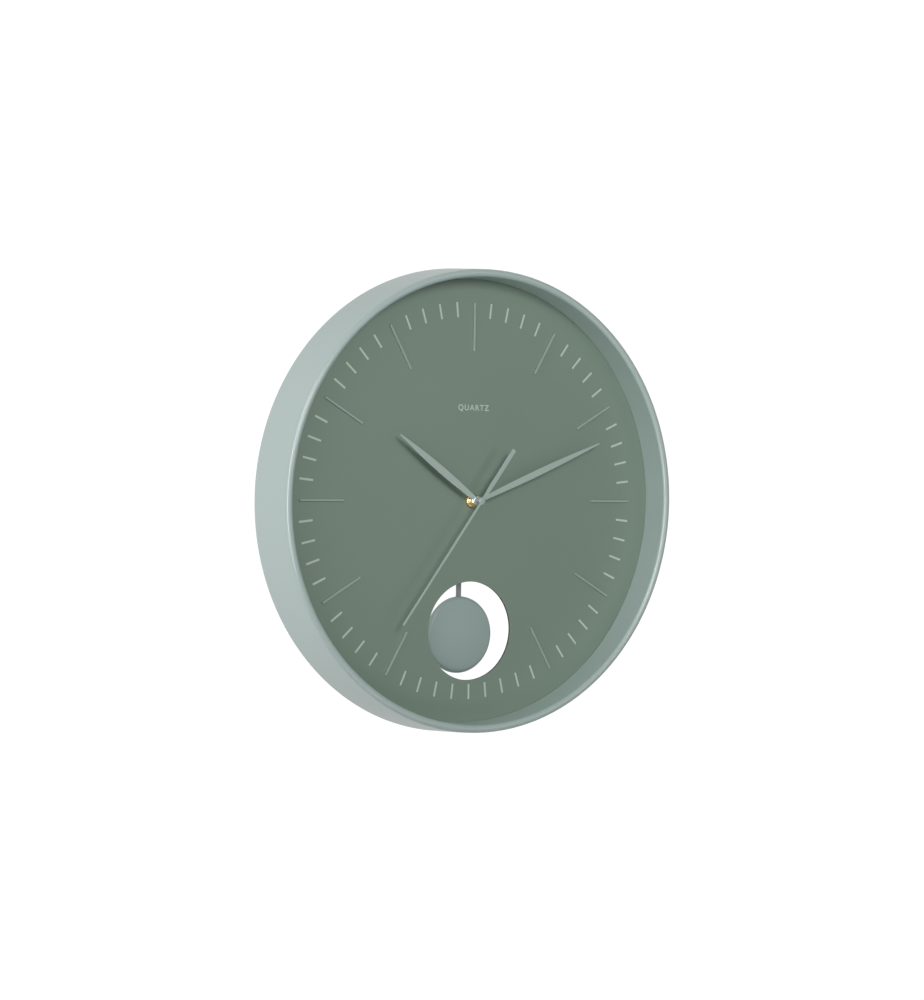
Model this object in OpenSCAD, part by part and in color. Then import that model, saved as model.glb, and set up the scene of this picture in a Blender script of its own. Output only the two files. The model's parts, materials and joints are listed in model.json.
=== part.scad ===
// Pendulum wall clock with a round drum case, a recessed dial and a free-swinging disc bob.
// The wall plane is y = 0, the front faces -Y, and the origin is the round part of the hanger's
// keyhole. "Depth" means the distance behind the front edge of the case.

/* [Case] */
// Outside diameter at the wall
case_back_d = 400; // [360:1:460]
// Outside diameter just behind the rolled front edge
case_front_d = 393.4; // [350:0.2:455]
// Depth from the front edge to the wall
case_depth = 48.5; // [47:0.5:60]
// Thickness of the rolled front edge
lip_t = 6.6; // [5:0.2:9]
// Wall thickness of the outer and inner skins
skin_t = 2.2; // [1.6:0.1:3]
// Depth of the dial's face behind the front edge
dial_recess = 27.9; // [24:0.1:30]
// Number of screws that hold the dial
dial_screw_count = 8; // [6:1:12]

/* [Dial] */
// Thickness of the dial board
dial_t = 2; // [1.5:0.1:2.5]
// Diameter of the round window over the pendulum bob
window_d = 84.6; // [70:0.2:90]
// Distance from the hands' axis down to the window's centre
window_drop = 111.8; // [100:0.2:120]
// Inner end of the raised hour markers, as a radius
marker_r_in = 127.9; // [110:0.1:140]
// Outer end of the raised hour markers, as a radius
marker_r_out = 169.6; // [150:0.1:180]
// Width of an hour marker
marker_w = 1.8; // [1:0.1:4]
// Height of an hour marker above the dial
marker_h = 1.6; // [0.5:0.1:3]

/* [Hands] */
// Length of the hour hand from the axis to its tip
hour_len = 96.4; // [60:0.2:110]
// Widest part of the hour hand
hour_w = 6.5; // [4:0.1:10]
// Depth of the hour hand's face
hour_depth = 18.3; // [17:0.1:19]
// Length of the minute hand from the axis to its tip
minute_len = 138; // [100:0.5:160]
// Widest part of the minute hand
minute_w = 5.7; // [3:0.1:9]
// Depth of the minute hand's face
minute_depth = 16.4; // [15:0.1:16.6]
// Length of the second hand from the axis to its tip
second_len = 130; // [100:0.5:160]
// Length of the second hand's counterweight tail
second_tail = 55.3; // [30:0.1:70]
// Depth of the second hand's face
second_depth = 11.4; // [8:0.1:12]
// Thickness of the stamped hands
hand_t = 0.5; // [0.3:0.1:0.7]

/* [Time shown] */
// Clock angle of the hour hand, clockwise from twelve
hour_angle = 305.1; // [0:0.1:360]
// Clock angle of the minute hand
minute_angle = 68.2; // [0:0.1:360]
// Clock angle of the second hand
second_angle = 216.7; // [0:0.1:360]

/* [Pendulum] */
// Diameter of the disc bob
bob_d = 66.4; // [50:0.2:70]
// Distance from the hands' axis down to the bob's centre
bob_drop = 116.3; // [100:0.1:125]
// Thickness of the bob's pressed shell, rim to crown
bob_t = 5; // [3:0.2:6]
// Width of the flat rod
rod_w = 5.3; // [3:0.1:6]
// Distance from the hands' axis up to the pendulum pivot
pivot_up = 44; // [40:0.5:46]
// Swing to each side, in degrees
swing = 8; // [4:0.5:8]

/* [Hanger] */
// Distance from the hands' axis up to the keyhole
hanger_up = 176; // [170:1:180]
// Radius of the keyhole's round entry
hanger_r = 4.5; // [3:0.1:5]
// Width of the keyhole's slot
hanger_slot_w = 4; // [3:0.1:5]

/* [Hidden] */
$fn = 96;

// Running clearance on every shaft, on the radius
run = 0.05;
// Overlap that makes two solids of one union share volume
eps = 0.2;

// Case, as radii and depths
lip_rho = lip_t / 2;
front_r = case_front_d / 2;
back_r = case_back_d / 2;
inner_r = front_r - lip_t;
dial_back = dial_recess + dial_t;
dial_r = front_r - 1.1;
boss_r = 3.2;
boss_ring_r = inner_r + 3.3;
screw_r = 1.3;
dial_screw_head_r = 2.8;
csk_r = 2.9;
shelf_depth = dial_back + 1.2;
shelf_t = 3;
hanger_t = 1.2;
hanger_pitch = 44;
hanger_plate_w = 58;
hanger_plate_h = 22;
hanger_slot = 7;

// Movement, all in depth unless a name says otherwise
washer_t = 0.8;
move_front = dial_back + washer_t;
wall_t = 1.2;
move_in = move_front + wall_t;
cover_in = move_front + 13.3;
cover_out = cover_in + 1;
move_x0 = -30;
move_x1 = 28;
move_z0 = -32;
move_z1 = 58;
bay_wall_x = -13.4;
bay_top = 24;
bushing_r = 4;
nut_r = 6.05;
nut_t = 3;
bushing_front = hour_depth + 1.6;
hour_pipe_r = 2.45;
minute_pipe_r = 1.45;
arbor_r = 0.5;
motion_post_r = 0.7;
pivot_deep = 0.3;

// Layers of the wheel train, as the depth of each wheel's front face
hour_layer = move_in + 0.4;
motion_layer = move_in + 2;
centre_layer = move_in + 3.4;
plate_depth = move_in + 4.9;
plate_t = 0.8;
third_layer = move_in + 6.3;
seconds_layer = move_in + 7.6;
fifth_layer = move_in + 8.9;
rotor_layer = move_in + 10;
wheel_t = 0.7;
pinion_extra = 0.2;

// Teeth of the train
rotor_pinion_z = 8;
fifth_z = 40;
fifth_pinion_z = 10;
seconds_z = 60;
seconds_pinion_z = 8;
third_z = 60;
third_pinion_z = 8;
centre_z = 64;
cannon_z = 12;
motion_z = 36;
motion_pinion_z = 12;
hour_z = 48;
knob_pinion_z = 18;

// Centre distances, and the clock angle from one arbor to the next
third_dist = 10.2;
third_at = 150;
motion_dist = 8;
motion_at = 60;
knob_dist = 9;
knob_at = 100;
fifth_dist = 10.5;
fifth_at = 20;
rotor_dist = 6;
rotor_at = 45;

// A point at a distance and clock angle from another, as [x, up]
function at_clock(from, dist, angle) = [from[0] + dist * sin(angle), from[1] + dist * cos(angle)];
axis_pos = [0, 0];
third_pos = at_clock(axis_pos, third_dist, third_at);
motion_pos = at_clock(axis_pos, motion_dist, motion_at);
knob_pos = at_clock(motion_pos, knob_dist, knob_at);
fifth_pos = at_clock(axis_pos, fifth_dist, fifth_at);
rotor_pos = at_clock(fifth_pos, rotor_dist, rotor_at);
pivot_pos = [0, pivot_up];

// Pitch radius of the first gear of a pair
function pitch(dist, own_z, other_z) = dist * own_z / (own_z + other_z);
// Turn of the second gear of a pair that puts a gap where the first has a tooth
function mesh_turn(first_turn, first_z, toward, second_z) =
    toward + 180 + 180 / second_z + (toward - first_turn) * first_z / second_z;
motion_turn = mesh_turn(motion_at, cannon_z, motion_at, motion_z);

// Pendulum, in depth
bob_rim = case_depth - 3.1;
bob_wall = 0.9;
rod_front = bob_rim;
rod_t = 0.6;
lever_front = rod_front + rod_t + 0.1;
lever_t = 1.2;
pin_r = 1;
magnet_up = pivot_up - 18;
magnet_r = 4.2;
hook_up = 16;
hook_r = 1.2;
rod_top_up = hook_up + 3.4;
rod_end_drop = bob_drop + 14;
rivet_gap = 16;
stop_up = pivot_up - 10.5;
lever_w = 7;

// Places children at a depth on the hands' axis, or at [x, up] from it, with +Z towards the wall
// and -Y up, so that a turn about +Z is clockwise as the owner sees it
module at_depth(depth, pos = [0, 0]) {
    translate([pos[0], depth - case_depth, pos[1] - hanger_up]) rotate([-90, 0, 0]) children();
}

// A block between two depths, with its corners given as [x, up]
module block(low, high, depth0, depth1) {
    translate([low[0], depth0 - case_depth, low[1] - hanger_up])
        cube([high[0] - low[0], depth1 - depth0, high[1] - low[1]]);
}

// A tube or, with no bore, a rod
module tube(r, length, bore = 0) {
    difference() {
        cylinder(r = r, h = length);
        if (bore > 0) translate([0, 0, -1]) cylinder(r = bore, h = length + 2);
    }
}

// Outline of a gear with straight flanks, first tooth pointing up
function gear_points(z, pitch_r, reach) = [
    for (i = [0:z - 1], k = [0:3])
        let (half = 360 / z * (k == 0 || k == 3 ? 0.23 : 0.1) * (k < 2 ? -1 : 1))
        let (r = pitch_r + (k == 0 || k == 3 ? -1.35 : 1) * reach)
        [r * sin(i * 360 / z + half), -r * cos(i * 360 / z + half)]];

module gear(z, pitch_r, thickness, turn = 0) {
    rotate([0, 0, turn]) linear_extrude(thickness)
        polygon(gear_points(z, pitch_r, 0.62 * pitch_r / z * 2));
}

// Crossed-out wheel with spokes and a rim, when it is large enough
module spoked_gear(z, pitch_r, thickness, turn = 0) {
    difference() {
        gear(z, pitch_r, thickness, turn);
        for (i = [0:3]) rotate([0, 0, i * 90 + 45]) translate([pitch_r * 0.56, 0, -1])
            cylinder(r = pitch_r * 0.2, h = thickness + 2, $fn = 32);
    }
}

module case_shell() {
    color([0.71, 0.77, 0.76]) difference() {
        union() {
            at_depth(0) rotate_extrude($fn = 180) polygon(case_profile());
            for (i = [0:dial_screw_count - 1]) at_depth(dial_recess - 8, boss_place(i))
                cylinder(r = boss_r, h = 8, $fn = 32);
            hanger_shelf();
        }
        for (i = [0:dial_screw_count - 1]) at_depth(dial_recess - 6, boss_place(i))
            cylinder(r = screw_r, h = 7, $fn = 32);
        for (side = [-1, 1]) at_depth(case_depth - hanger_t - 9, [side * hanger_pitch / 2, hanger_up])
            cylinder(r = screw_r, h = 10, $fn = 32);
    }
}

// Outline of the ring as [radius, depth]: tapered outer skin, round front edge, straight inner
// skin, and the open channel between the two skins
function case_profile() = concat([[back_r, case_depth]],
    [for (a = [0:10:180]) [front_r - lip_rho + lip_rho * cos(a), lip_rho - lip_rho * sin(a)]],
    [[inner_r, dial_recess], [inner_r + skin_t, dial_recess], [inner_r + skin_t, lip_t],
        [front_r - skin_t + (back_r - front_r) * lip_rho / case_depth, lip_t],
        [back_r - skin_t, case_depth]]);

function boss_place(i) = at_clock(axis_pos, boss_ring_r, (i + 0.5) * 360 / dial_screw_count);

// Shelf moulded into the top of the case, with the two bosses that carry the hanger plate
module hanger_shelf() {
    shelf_w = hanger_pitch + 16;
    at_depth(shelf_depth) linear_extrude(shelf_t) intersection() {
        circle(back_r - 2);
        translate([-shelf_w / 2, -back_r]) square([shelf_w, back_r - hanger_up + 14]);
    }
    for (side = [-1, 1]) {
        at_depth(shelf_depth, [side * hanger_pitch / 2, hanger_up])
            cylinder(r = 5, h = case_depth - hanger_t - shelf_depth);
        block([side * hanger_pitch / 2 - 1, hanger_up], [side * hanger_pitch / 2 + 1, back_r - 3.6],
            shelf_depth, case_depth - 5);
    }
}

module dial_board() {
    color([0.44, 0.50, 0.45]) at_depth(dial_recess) linear_extrude(dial_t) difference() {
        circle(dial_r, $fn = 180);
        circle(bushing_r + run);
        translate([0, window_drop]) circle(d = window_d, $fn = 120);
        for (i = [0:dial_screw_count - 1])
            translate([boss_place(i)[0], -boss_place(i)[1]]) circle(screw_r + 0.15, $fn = 32);
    }
}

// Eleven raised bars: the window takes the place of the one at six o'clock
module hour_markers() {
    color([0.60, 0.67, 0.62]) for (hour = [0:11]) if (hour != 6)
        at_depth(dial_recess - marker_h) rotate([0, 0, hour * 30])
            translate([-marker_w / 2, -marker_r_out, 0])
                cube([marker_w, marker_r_out - marker_r_in, marker_h]);
}

// Pan-head screw with its head's underside at depth 0 and its thread towards the front
module screw(head_r, head_h, r, length) {
    difference() {
        union() {
            cylinder(r = head_r, h = head_h, $fn = 32);
            translate([0, 0, -length]) cylinder(r = r, h = length + eps, $fn = 32);
        }
        for (a = [0, 90]) rotate([0, 0, a]) translate([-head_r * 0.55, -0.25, head_h - 0.6])
            cube([head_r * 1.1, 0.5, 1]);
    }
}

module dial_screws() {
    color([0.66, 0.66, 0.67]) for (i = [0:dial_screw_count - 1])
        at_depth(dial_back, boss_place(i)) screw(dial_screw_head_r, 1.4, screw_r, 7);
}

// Steel plate with a keyhole and two countersunk holes
module hanger_plate() {
    color([0.70, 0.70, 0.71]) difference() {
        at_depth(case_depth - hanger_t, [0, hanger_up]) difference() {
            translate([-hanger_plate_w / 2, -hanger_plate_h / 2, 0])
                cube([hanger_plate_w, hanger_plate_h, hanger_t]);
            translate([0, 0, -1]) cylinder(r = hanger_r, h = hanger_t + 2);
            translate([0, 0, -1]) linear_extrude(hanger_t + 2) polygon(hanger_slot_points());
        }
        for (side = [-1, 1]) at_depth(case_depth - hanger_t, [side * hanger_pitch / 2, hanger_up])
            countersink(0.5);
    }
}

// Slot above the round part of the keyhole, with a rounded end
function hanger_slot_points() = concat([[hanger_slot_w / 2, 0]],
    [for (a = [10:20:170]) [hanger_slot_w / 2 * cos(a), -hanger_slot - hanger_slot_w / 2 * sin(a)]],
    [[-hanger_slot_w / 2, 0]]);

// Cone of a countersunk head through the plate, run on by extra beyond both faces
module countersink(extra = 0) {
    slope = (csk_r - screw_r) / hanger_t;
    translate([0, 0, -extra]) cylinder(r1 = screw_r - slope * extra, r2 = csk_r + slope * extra,
        h = hanger_t + 2 * extra);
}

module hanger_screws() {
    color([0.66, 0.66, 0.67]) for (side = [-1, 1])
        at_depth(case_depth - hanger_t, [side * hanger_pitch / 2, hanger_up]) difference() {
            union() {
                countersink();
                translate([0, 0, -8]) cylinder(r = screw_r, h = 8.01);
            }
            for (a = [0, 90]) rotate([0, 0, a]) translate([-1.5, -0.25, hanger_t - 0.6]) cube([3, 0.5, 1]);
        }
}

module movement_front_case() {
    color([0.13, 0.13, 0.14]) difference() {
        union() {
            difference() {
                block([move_x0, move_z0], [move_x1, move_z1], move_front, cover_in);
                block([bay_wall_x + wall_t, move_z0 + wall_t], [move_x1 - wall_t, move_z1 - wall_t],
                    move_in, cover_in + 1);
                block([move_x0 + wall_t, move_z0 + wall_t], [bay_wall_x, bay_top], move_in, cover_in + 1);
                block([move_x0 + wall_t, bay_top + wall_t], [bay_wall_x + 2, move_z1 - wall_t],
                    move_in, cover_in + 1);
            }
            for (p = post_places) at_depth(move_in - eps, p)
                cylinder(r = 1.8, h = plate_depth - move_in + eps);
            for (p = cover_screw_places) at_depth(move_in - eps, p)
                cylinder(r = 2.4, h = cover_in - move_in + eps);
            at_depth(move_in - eps, motion_pos)
                cylinder(r = motion_post_r, h = motion_layer + wheel_t + 0.3 - move_in + eps, $fn = 48);
        }
        at_depth(move_front - 1) cylinder(r = bushing_r, h = 5);
        for (p = post_places) at_depth(plate_depth - 3, p) cylinder(r = 0.8, h = 4, $fn = 32);
        for (p = cover_screw_places) at_depth(cover_in - 6, p) cylinder(r = 0.9, h = 7, $fn = 32);
        at_depth(move_in - pivot_deep, third_pos) cylinder(r = arbor_r + run, h = 1, $fn = 32);
        at_depth(move_in - pivot_deep, knob_pos) cylinder(r = arbor_r + run, h = 1, $fn = 32);
    }
}
post_places = [[-9.6, -19], [-9.6, 20], [16.5, -19]];
cover_screw_places = [[24, -28], [24, 54], [-26, 54]];

// Rear cover with the stops that limit the pendulum lever; the battery bay stays open
module movement_rear_cover() {
    stop_x = lever_w / 2 + (pivot_up - stop_up + 1.5) * tan(swing) + 0.4;
    color([0.16, 0.16, 0.17]) difference() {
        union() {
            block([move_x0, move_z0], [move_x1, move_z1], cover_in, cover_out);
            for (side = [-1, 1]) block([side < 0 ? -stop_x - 2 : stop_x, stop_up - 1.5],
                [side < 0 ? -stop_x : stop_x + 2, stop_up + 1.5], cover_out - eps, lever_front + 0.8);
        }
        block([move_x0 + wall_t, move_z0 + wall_t], [bay_wall_x, bay_top], cover_in - 1, cover_out + 1);
        at_depth(cover_in - 1) cylinder(r = arbor_r + run, h = 1 + pivot_deep, $fn = 32);
        for (p = [third_pos, fifth_pos, rotor_pos]) at_depth(cover_in - 1, p)
            cylinder(r = arbor_r + run, h = 1 + pivot_deep, $fn = 32);
        at_depth(cover_in - 1, knob_pos) cylinder(r = 0.9 + run, h = 4, $fn = 48);
        at_depth(cover_in - 1, pivot_pos) cylinder(r = pin_r, h = 4, $fn = 48);
        for (p = cover_screw_places) at_depth(cover_in - 1, p) cylinder(r = 1.1, h = 4, $fn = 32);
    }
}

module cover_screws() {
    color([0.66, 0.66, 0.67]) for (p = cover_screw_places) at_depth(cover_out, p) screw(2.2, 1, 0.9, 6);
}

// Brass bushing with a flange inside the movement; fine rings stand for its thread
module threaded_bushing() {
    thread_pitch = 0.75;
    color([0.80, 0.65, 0.33]) at_depth(bushing_front) difference() {
        union() {
            cylinder(r = bushing_r - 0.25, h = move_front - bushing_front);
            for (d = [0.3:thread_pitch:move_front - bushing_front - 0.8]) translate([0, 0, d])
                cylinder(r = bushing_r, h = thread_pitch / 2);
            translate([0, 0, dial_recess - bushing_front - 0.1]) cylinder(r = bushing_r, h = dial_t + 1);
            translate([0, 0, move_front - bushing_front - eps]) cylinder(r = bushing_r, h = wall_t + eps);
        }
        translate([0, 0, -1]) cylinder(r = hour_pipe_r + run, h = 30);
    }
}

// Round nut that clamps the dial against the movement
module bushing_nut() {
    color([0.83, 0.67, 0.35]) at_depth(dial_recess - nut_t) difference() {
        rotate_extrude() polygon([[bushing_r, 0], [nut_r - 1.5, 0], [nut_r - 0.5, 0.45],
            [nut_r, 1.2], [nut_r, nut_t], [bushing_r, nut_t]]);
    }
}

module dial_washer() {
    color([0.10, 0.10, 0.10]) at_depth(dial_back) tube(11, washer_t, bushing_r + run);
}

module train_plate() {
    color([0.75, 0.70, 0.55]) difference() {
        block([-11.6, -22], [17.6, 23.4], plate_depth, plate_depth + plate_t);
        at_depth(plate_depth - 1) cylinder(r = 1.25, h = 3, $fn = 48);
        for (p = [third_pos, fifth_pos, rotor_pos]) at_depth(plate_depth - 1, p)
            cylinder(r = (p == third_pos ? 0.95 : arbor_r + run), h = 3, $fn = 32);
        at_depth(plate_depth - 1, knob_pos) cylinder(r = 0.9 + run, h = 3, $fn = 32);
        for (p = post_places) at_depth(plate_depth - 1, p) cylinder(r = 0.8, h = 3, $fn = 32);
    }
}

module plate_screws() {
    color([0.66, 0.66, 0.67]) for (p = post_places)
        at_depth(plate_depth + plate_t, p) screw(1.7, 0.9, 0.8, 3);
}

// Two soft-iron blades that meet round the rotor and end on the coil's core
coil_x = 22.4;
coil_low = 4.5;
coil_high = 20.5;
stator_depth = rotor_layer + 0.1;
stator_t = 1.2;
module stator() {
    color([0.60, 0.60, 0.62]) difference() {
        union() {
            at_depth(stator_depth, rotor_pos) cylinder(r = 4.6, h = stator_t);
            block([rotor_pos[0] + 2, coil_high], [coil_x + 2.5, coil_high + 3],
                stator_depth, stator_depth + stator_t);
            block([rotor_pos[0] + 2, rotor_pos[1] + 3], [rotor_pos[0] + 5, coil_high + 3],
                stator_depth, stator_depth + stator_t);
            block([rotor_pos[0] + 2, rotor_pos[1] - 4.6], [rotor_pos[0] + 11.6, rotor_pos[1] - 2],
                stator_depth, stator_depth + stator_t);
            block([rotor_pos[0] + 9, coil_low - 3], [rotor_pos[0] + 11.6, rotor_pos[1] - 2],
                stator_depth, stator_depth + stator_t);
            block([rotor_pos[0] + 9, coil_low - 3], [coil_x + 2.5, coil_low],
                stator_depth, stator_depth + stator_t);
        }
        at_depth(stator_depth - 1, rotor_pos) cylinder(r = 3.1, h = 4, $fn = 48);
        block([rotor_pos[0] - 0.2, rotor_pos[1] - 6], [rotor_pos[0] + 0.2, rotor_pos[1] - 3],
            stator_depth - 1, stator_depth + stator_t + 1);
        block([rotor_pos[0] - 0.2, rotor_pos[1] + 3], [rotor_pos[0] + 0.2, rotor_pos[1] + 6],
            stator_depth - 1, stator_depth + stator_t + 1);
    }
}

// Places children with +Z up, on the motor coil's own axis
module on_coil(up) {
    translate([coil_x, stator_depth - 2.2 - case_depth, up - hanger_up]) children();
}

module coil_core() {
    color([0.55, 0.55, 0.57]) {
        on_coil(coil_low - 3) cylinder(r = 1.3, h = coil_high - coil_low + 6, $fn = 32);
        for (up = [coil_low - 3, coil_high])
            block([coil_x - 1.2, up], [coil_x + 1.2, up + 3], stator_depth - 2.2, stator_depth);
    }
}

module coil_bobbin() {
    color([0.85, 0.83, 0.78]) on_coil(coil_low) difference() {
        union() {
            cylinder(r = 1.8, h = coil_high - coil_low, $fn = 32);
            cylinder(r = 3.6, h = 1);
            translate([0, 0, coil_high - coil_low - 1]) cylinder(r = 3.6, h = 1);
        }
        translate([0, 0, -1]) cylinder(r = 1.3, h = 30, $fn = 32);
        translate([-5, 2.1, -1]) cube([10, 4, 30]);
    }
}

module motor_coil() {
    color([0.72, 0.42, 0.22]) on_coil(coil_low + 1) difference() {
        tube(3.3, coil_high - coil_low - 2, 1.8);
        translate([-5, 2.1, -1]) cube([10, 4, 30]);
    }
}

board_front = move_in + 1.2;
module circuit_board() {
    color([0.20, 0.36, 0.24]) block([-10, 27], [22.5, 52], board_front, board_front + 1);
    color([0.20, 0.36, 0.24]) for (x = [-6, 18]) block([x, 29], [x + 2, 31], move_in, board_front);
}

module control_chip() {
    color([0.06, 0.06, 0.06]) at_depth(board_front + 1, [12, 34]) cylinder(r = 2.6, h = 1);
}

module quartz_crystal() {
    color([0.75, 0.75, 0.76]) translate([-4, board_front + 2.5 - case_depth, 31 - hanger_up])
        cylinder(r = 1.5, h = 8, $fn = 48);
}

battery_r = 7.15;
battery_x = -21.1;
battery_depth = move_in + battery_r + 0.1;
battery_low = -28.1;
module battery() {
    color([0.20, 0.22, 0.24])
        translate([battery_x, battery_depth - case_depth, battery_low - hanger_up]) {
            cylinder(r = battery_r, h = 49.2);
            translate([0, 0, 49]) cylinder(r = 2.6, h = 1.4, $fn = 48);
        }
}

module contact_positive() {
    color([0.76, 0.76, 0.74])
        block([battery_x - 5, battery_low + 50.4], [battery_x + 5, battery_low + 50.9],
            battery_depth - 5, battery_depth + 4);
    color([0.76, 0.76, 0.74])
        block([battery_x - 2, battery_low + 50.9], [battery_x + 2, bay_top],
            battery_depth - 5, battery_depth - 4.5);
}

// Cone spring, compressed by the battery, as a stack of rings on a plate
module contact_negative() {
    color([0.76, 0.76, 0.74]) {
        block([battery_x - 5, move_z0 + wall_t], [battery_x + 5, move_z0 + wall_t + 0.5],
            battery_depth - 5, battery_depth + 4);
        translate([battery_x, battery_depth - case_depth, move_z0 + wall_t + 0.45 - hanger_up])
            for (i = [0:2]) translate([0, 0, 0.35 + i * 0.68]) rotate_extrude()
                translate([4.2 - i * 0.35, 0]) circle(0.38, $fn = 32);
    }
}

module drive_coil() {
    color([0.72, 0.42, 0.22]) at_depth(cover_in - 2.6, [0, magnet_up]) tube(7.5, 2.5, 2.8);
}

module pivot_pin() {
    color([0.72, 0.72, 0.73]) at_depth(cover_in - 2, pivot_pos) {
        cylinder(r = pin_r, h = case_depth - 0.6 - cover_in + 2, $fn = 48);
        cylinder(r = 2.2, h = 2);
    }
}

module pivot_retainer() {
    color([0.30, 0.30, 0.31]) at_depth(lever_front + lever_t + 0.15, pivot_pos) tube(2.4, 0.5, pin_r);
}

// Wheel with its arbor, and a pinion on the same arbor where pinion_z is not 0
module seconds_wheel() {
    color([0.88, 0.86, 0.78]) {
        at_depth(second_depth + 1)
            cylinder(r = arbor_r, h = cover_in + 0.2 - second_depth - 1, $fn = 48);
        at_depth(seconds_layer) difference() {
            spoked_gear(seconds_z, pitch(fifth_dist, seconds_z, fifth_pinion_z), wheel_t, fifth_at);
            translate([0, 0, -1]) cylinder(r = arbor_r, h = 4, $fn = 48);
        }
        at_depth(third_layer - pinion_extra) difference() {
            union() {
                gear(seconds_pinion_z, pitch(third_dist, seconds_pinion_z, third_z),
                    wheel_t + pinion_extra * 2, third_at);
                translate([0, 0, wheel_t]) cylinder(r = 0.7, h = seconds_layer - third_layer - wheel_t + eps);
            }
            translate([0, 0, -1]) cylinder(r = arbor_r, h = 6, $fn = 48);
        }
    }
}

module third_wheel() {
    color([0.88, 0.86, 0.78]) union() {
        at_depth(centre_layer - pinion_extra, third_pos) cylinder(r = arbor_r,
            h = cover_in + pivot_deep - 0.1 - centre_layer + pinion_extra, $fn = 48);
        at_depth(move_in - pivot_deep + 0.1, third_pos)
            cylinder(r = arbor_r, h = centre_layer - move_in + pivot_deep, $fn = 48);
        at_depth(third_layer, third_pos) spoked_gear(third_z, pitch(third_dist, third_z, seconds_pinion_z),
            wheel_t, mesh_turn(third_at, seconds_pinion_z, third_at, third_z));
        at_depth(centre_layer - pinion_extra, third_pos) gear(third_pinion_z,
            pitch(third_dist, third_pinion_z, centre_z), wheel_t + pinion_extra * 2, third_at + 180);
        at_depth(centre_layer + wheel_t, third_pos)
            cylinder(r = 0.75, h = third_layer - centre_layer - wheel_t + eps, $fn = 32);
    }
}

// Centre wheel with the cannon pinion and the pipe that carries the minute hand
module centre_wheel() {
    color([0.88, 0.86, 0.78]) difference() {
        union() {
            at_depth(minute_depth - 0.6)
                cylinder(r = minute_pipe_r, h = centre_layer + wheel_t - minute_depth + 0.6);
            at_depth(centre_layer) spoked_gear(centre_z, pitch(third_dist, centre_z, third_pinion_z), wheel_t,
                mesh_turn(third_at + 180, third_pinion_z, third_at + 180, centre_z));
            at_depth(motion_layer - pinion_extra) gear(cannon_z, pitch(motion_dist, cannon_z, motion_z),
                wheel_t + pinion_extra * 2, motion_at);
        }
        at_depth(0) cylinder(r = arbor_r + run, h = 60, $fn = 48);
    }
}

// Motion wheel and pinion, free on a post of the front case
module motion_wheel() {
    color([0.88, 0.86, 0.78]) difference() {
        union() {
            at_depth(motion_layer, motion_pos) spoked_gear(motion_z, pitch(motion_dist, motion_z, cannon_z),
                wheel_t, motion_turn);
            at_depth(hour_layer - pinion_extra, motion_pos) gear(motion_pinion_z,
                pitch(motion_dist, motion_pinion_z, hour_z), motion_layer - hour_layer + pinion_extra + 0.1,
                motion_at + 180);
        }
        at_depth(move_in - 1, motion_pos) cylinder(r = motion_post_r + run, h = 6, $fn = 48);
    }
}

// Hour wheel and the pipe that carries the hour hand, free on the minute pipe
module hour_wheel() {
    color([0.88, 0.86, 0.78]) difference() {
        union() {
            at_depth(hour_depth - 0.7) cylinder(r = hour_pipe_r, h = hour_layer - hour_depth + 0.7 + eps);
            at_depth(hour_layer) gear(hour_z, pitch(motion_dist, hour_z, motion_pinion_z), wheel_t,
                mesh_turn(motion_at + 180, motion_pinion_z, motion_at + 180, hour_z));
        }
        at_depth(0) cylinder(r = minute_pipe_r + run, h = 60);
    }
}

module fifth_wheel() {
    color([0.88, 0.86, 0.78]) union() {
        at_depth(plate_depth + 0.1, fifth_pos) cylinder(r = arbor_r,
            h = cover_in + pivot_deep - 0.2 - plate_depth, $fn = 48);
        at_depth(fifth_layer, fifth_pos) spoked_gear(fifth_z, pitch(rotor_dist, fifth_z, rotor_pinion_z),
            wheel_t, rotor_at);
        at_depth(seconds_layer - pinion_extra, fifth_pos) gear(fifth_pinion_z,
            pitch(fifth_dist, fifth_pinion_z, seconds_z), fifth_layer - seconds_layer + pinion_extra + 0.1,
            mesh_turn(fifth_at, seconds_z, fifth_at, fifth_pinion_z));
    }
}

module rotor() {
    color([0.80, 0.80, 0.78]) union() {
        at_depth(plate_depth + 0.1, rotor_pos) cylinder(r = arbor_r,
            h = cover_in + pivot_deep - 0.2 - plate_depth, $fn = 48);
        at_depth(fifth_layer - pinion_extra, rotor_pos) gear(rotor_pinion_z,
            pitch(rotor_dist, rotor_pinion_z, fifth_z), wheel_t + pinion_extra,
            mesh_turn(rotor_at, fifth_z, rotor_at, rotor_pinion_z));
    }
}

module rotor_magnet() {
    color([0.22, 0.22, 0.24]) at_depth(rotor_layer, rotor_pos) tube(2.6, 1.5, arbor_r);
}

// Arbor of the setting knob, with the pinion that turns with the motion wheel
module setting_arbor() {
    color([0.88, 0.86, 0.78]) union() {
        at_depth(move_in - pivot_deep + 0.1, knob_pos) cylinder(r = arbor_r, h = 2, $fn = 48);
        at_depth(motion_layer - 0.8, knob_pos)
            cylinder(r = 0.9, h = cover_out + 1.4 - motion_layer + 0.8, $fn = 48);
        at_depth(motion_layer - pinion_extra, knob_pos) gear(knob_pinion_z,
            pitch(knob_dist, knob_pinion_z, motion_z), wheel_t + pinion_extra * 2,
            mesh_turn(motion_turn, motion_z, knob_at, knob_pinion_z));
    }
}

module setting_knob() {
    flutes = 20;
    color([0.18, 0.18, 0.19]) at_depth(cover_out + 0.3, knob_pos) difference() {
        cylinder(r = 5.5, h = 2.2);
        for (i = [0:flutes - 1]) rotate([0, 0, i * 360 / flutes]) translate([5.7, 0, -1])
            cylinder(r = 0.5, h = 5, $fn = 16);
        translate([0, 0, -1]) cylinder(r = 0.9, h = 2.1, $fn = 48);
    }
}

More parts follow.
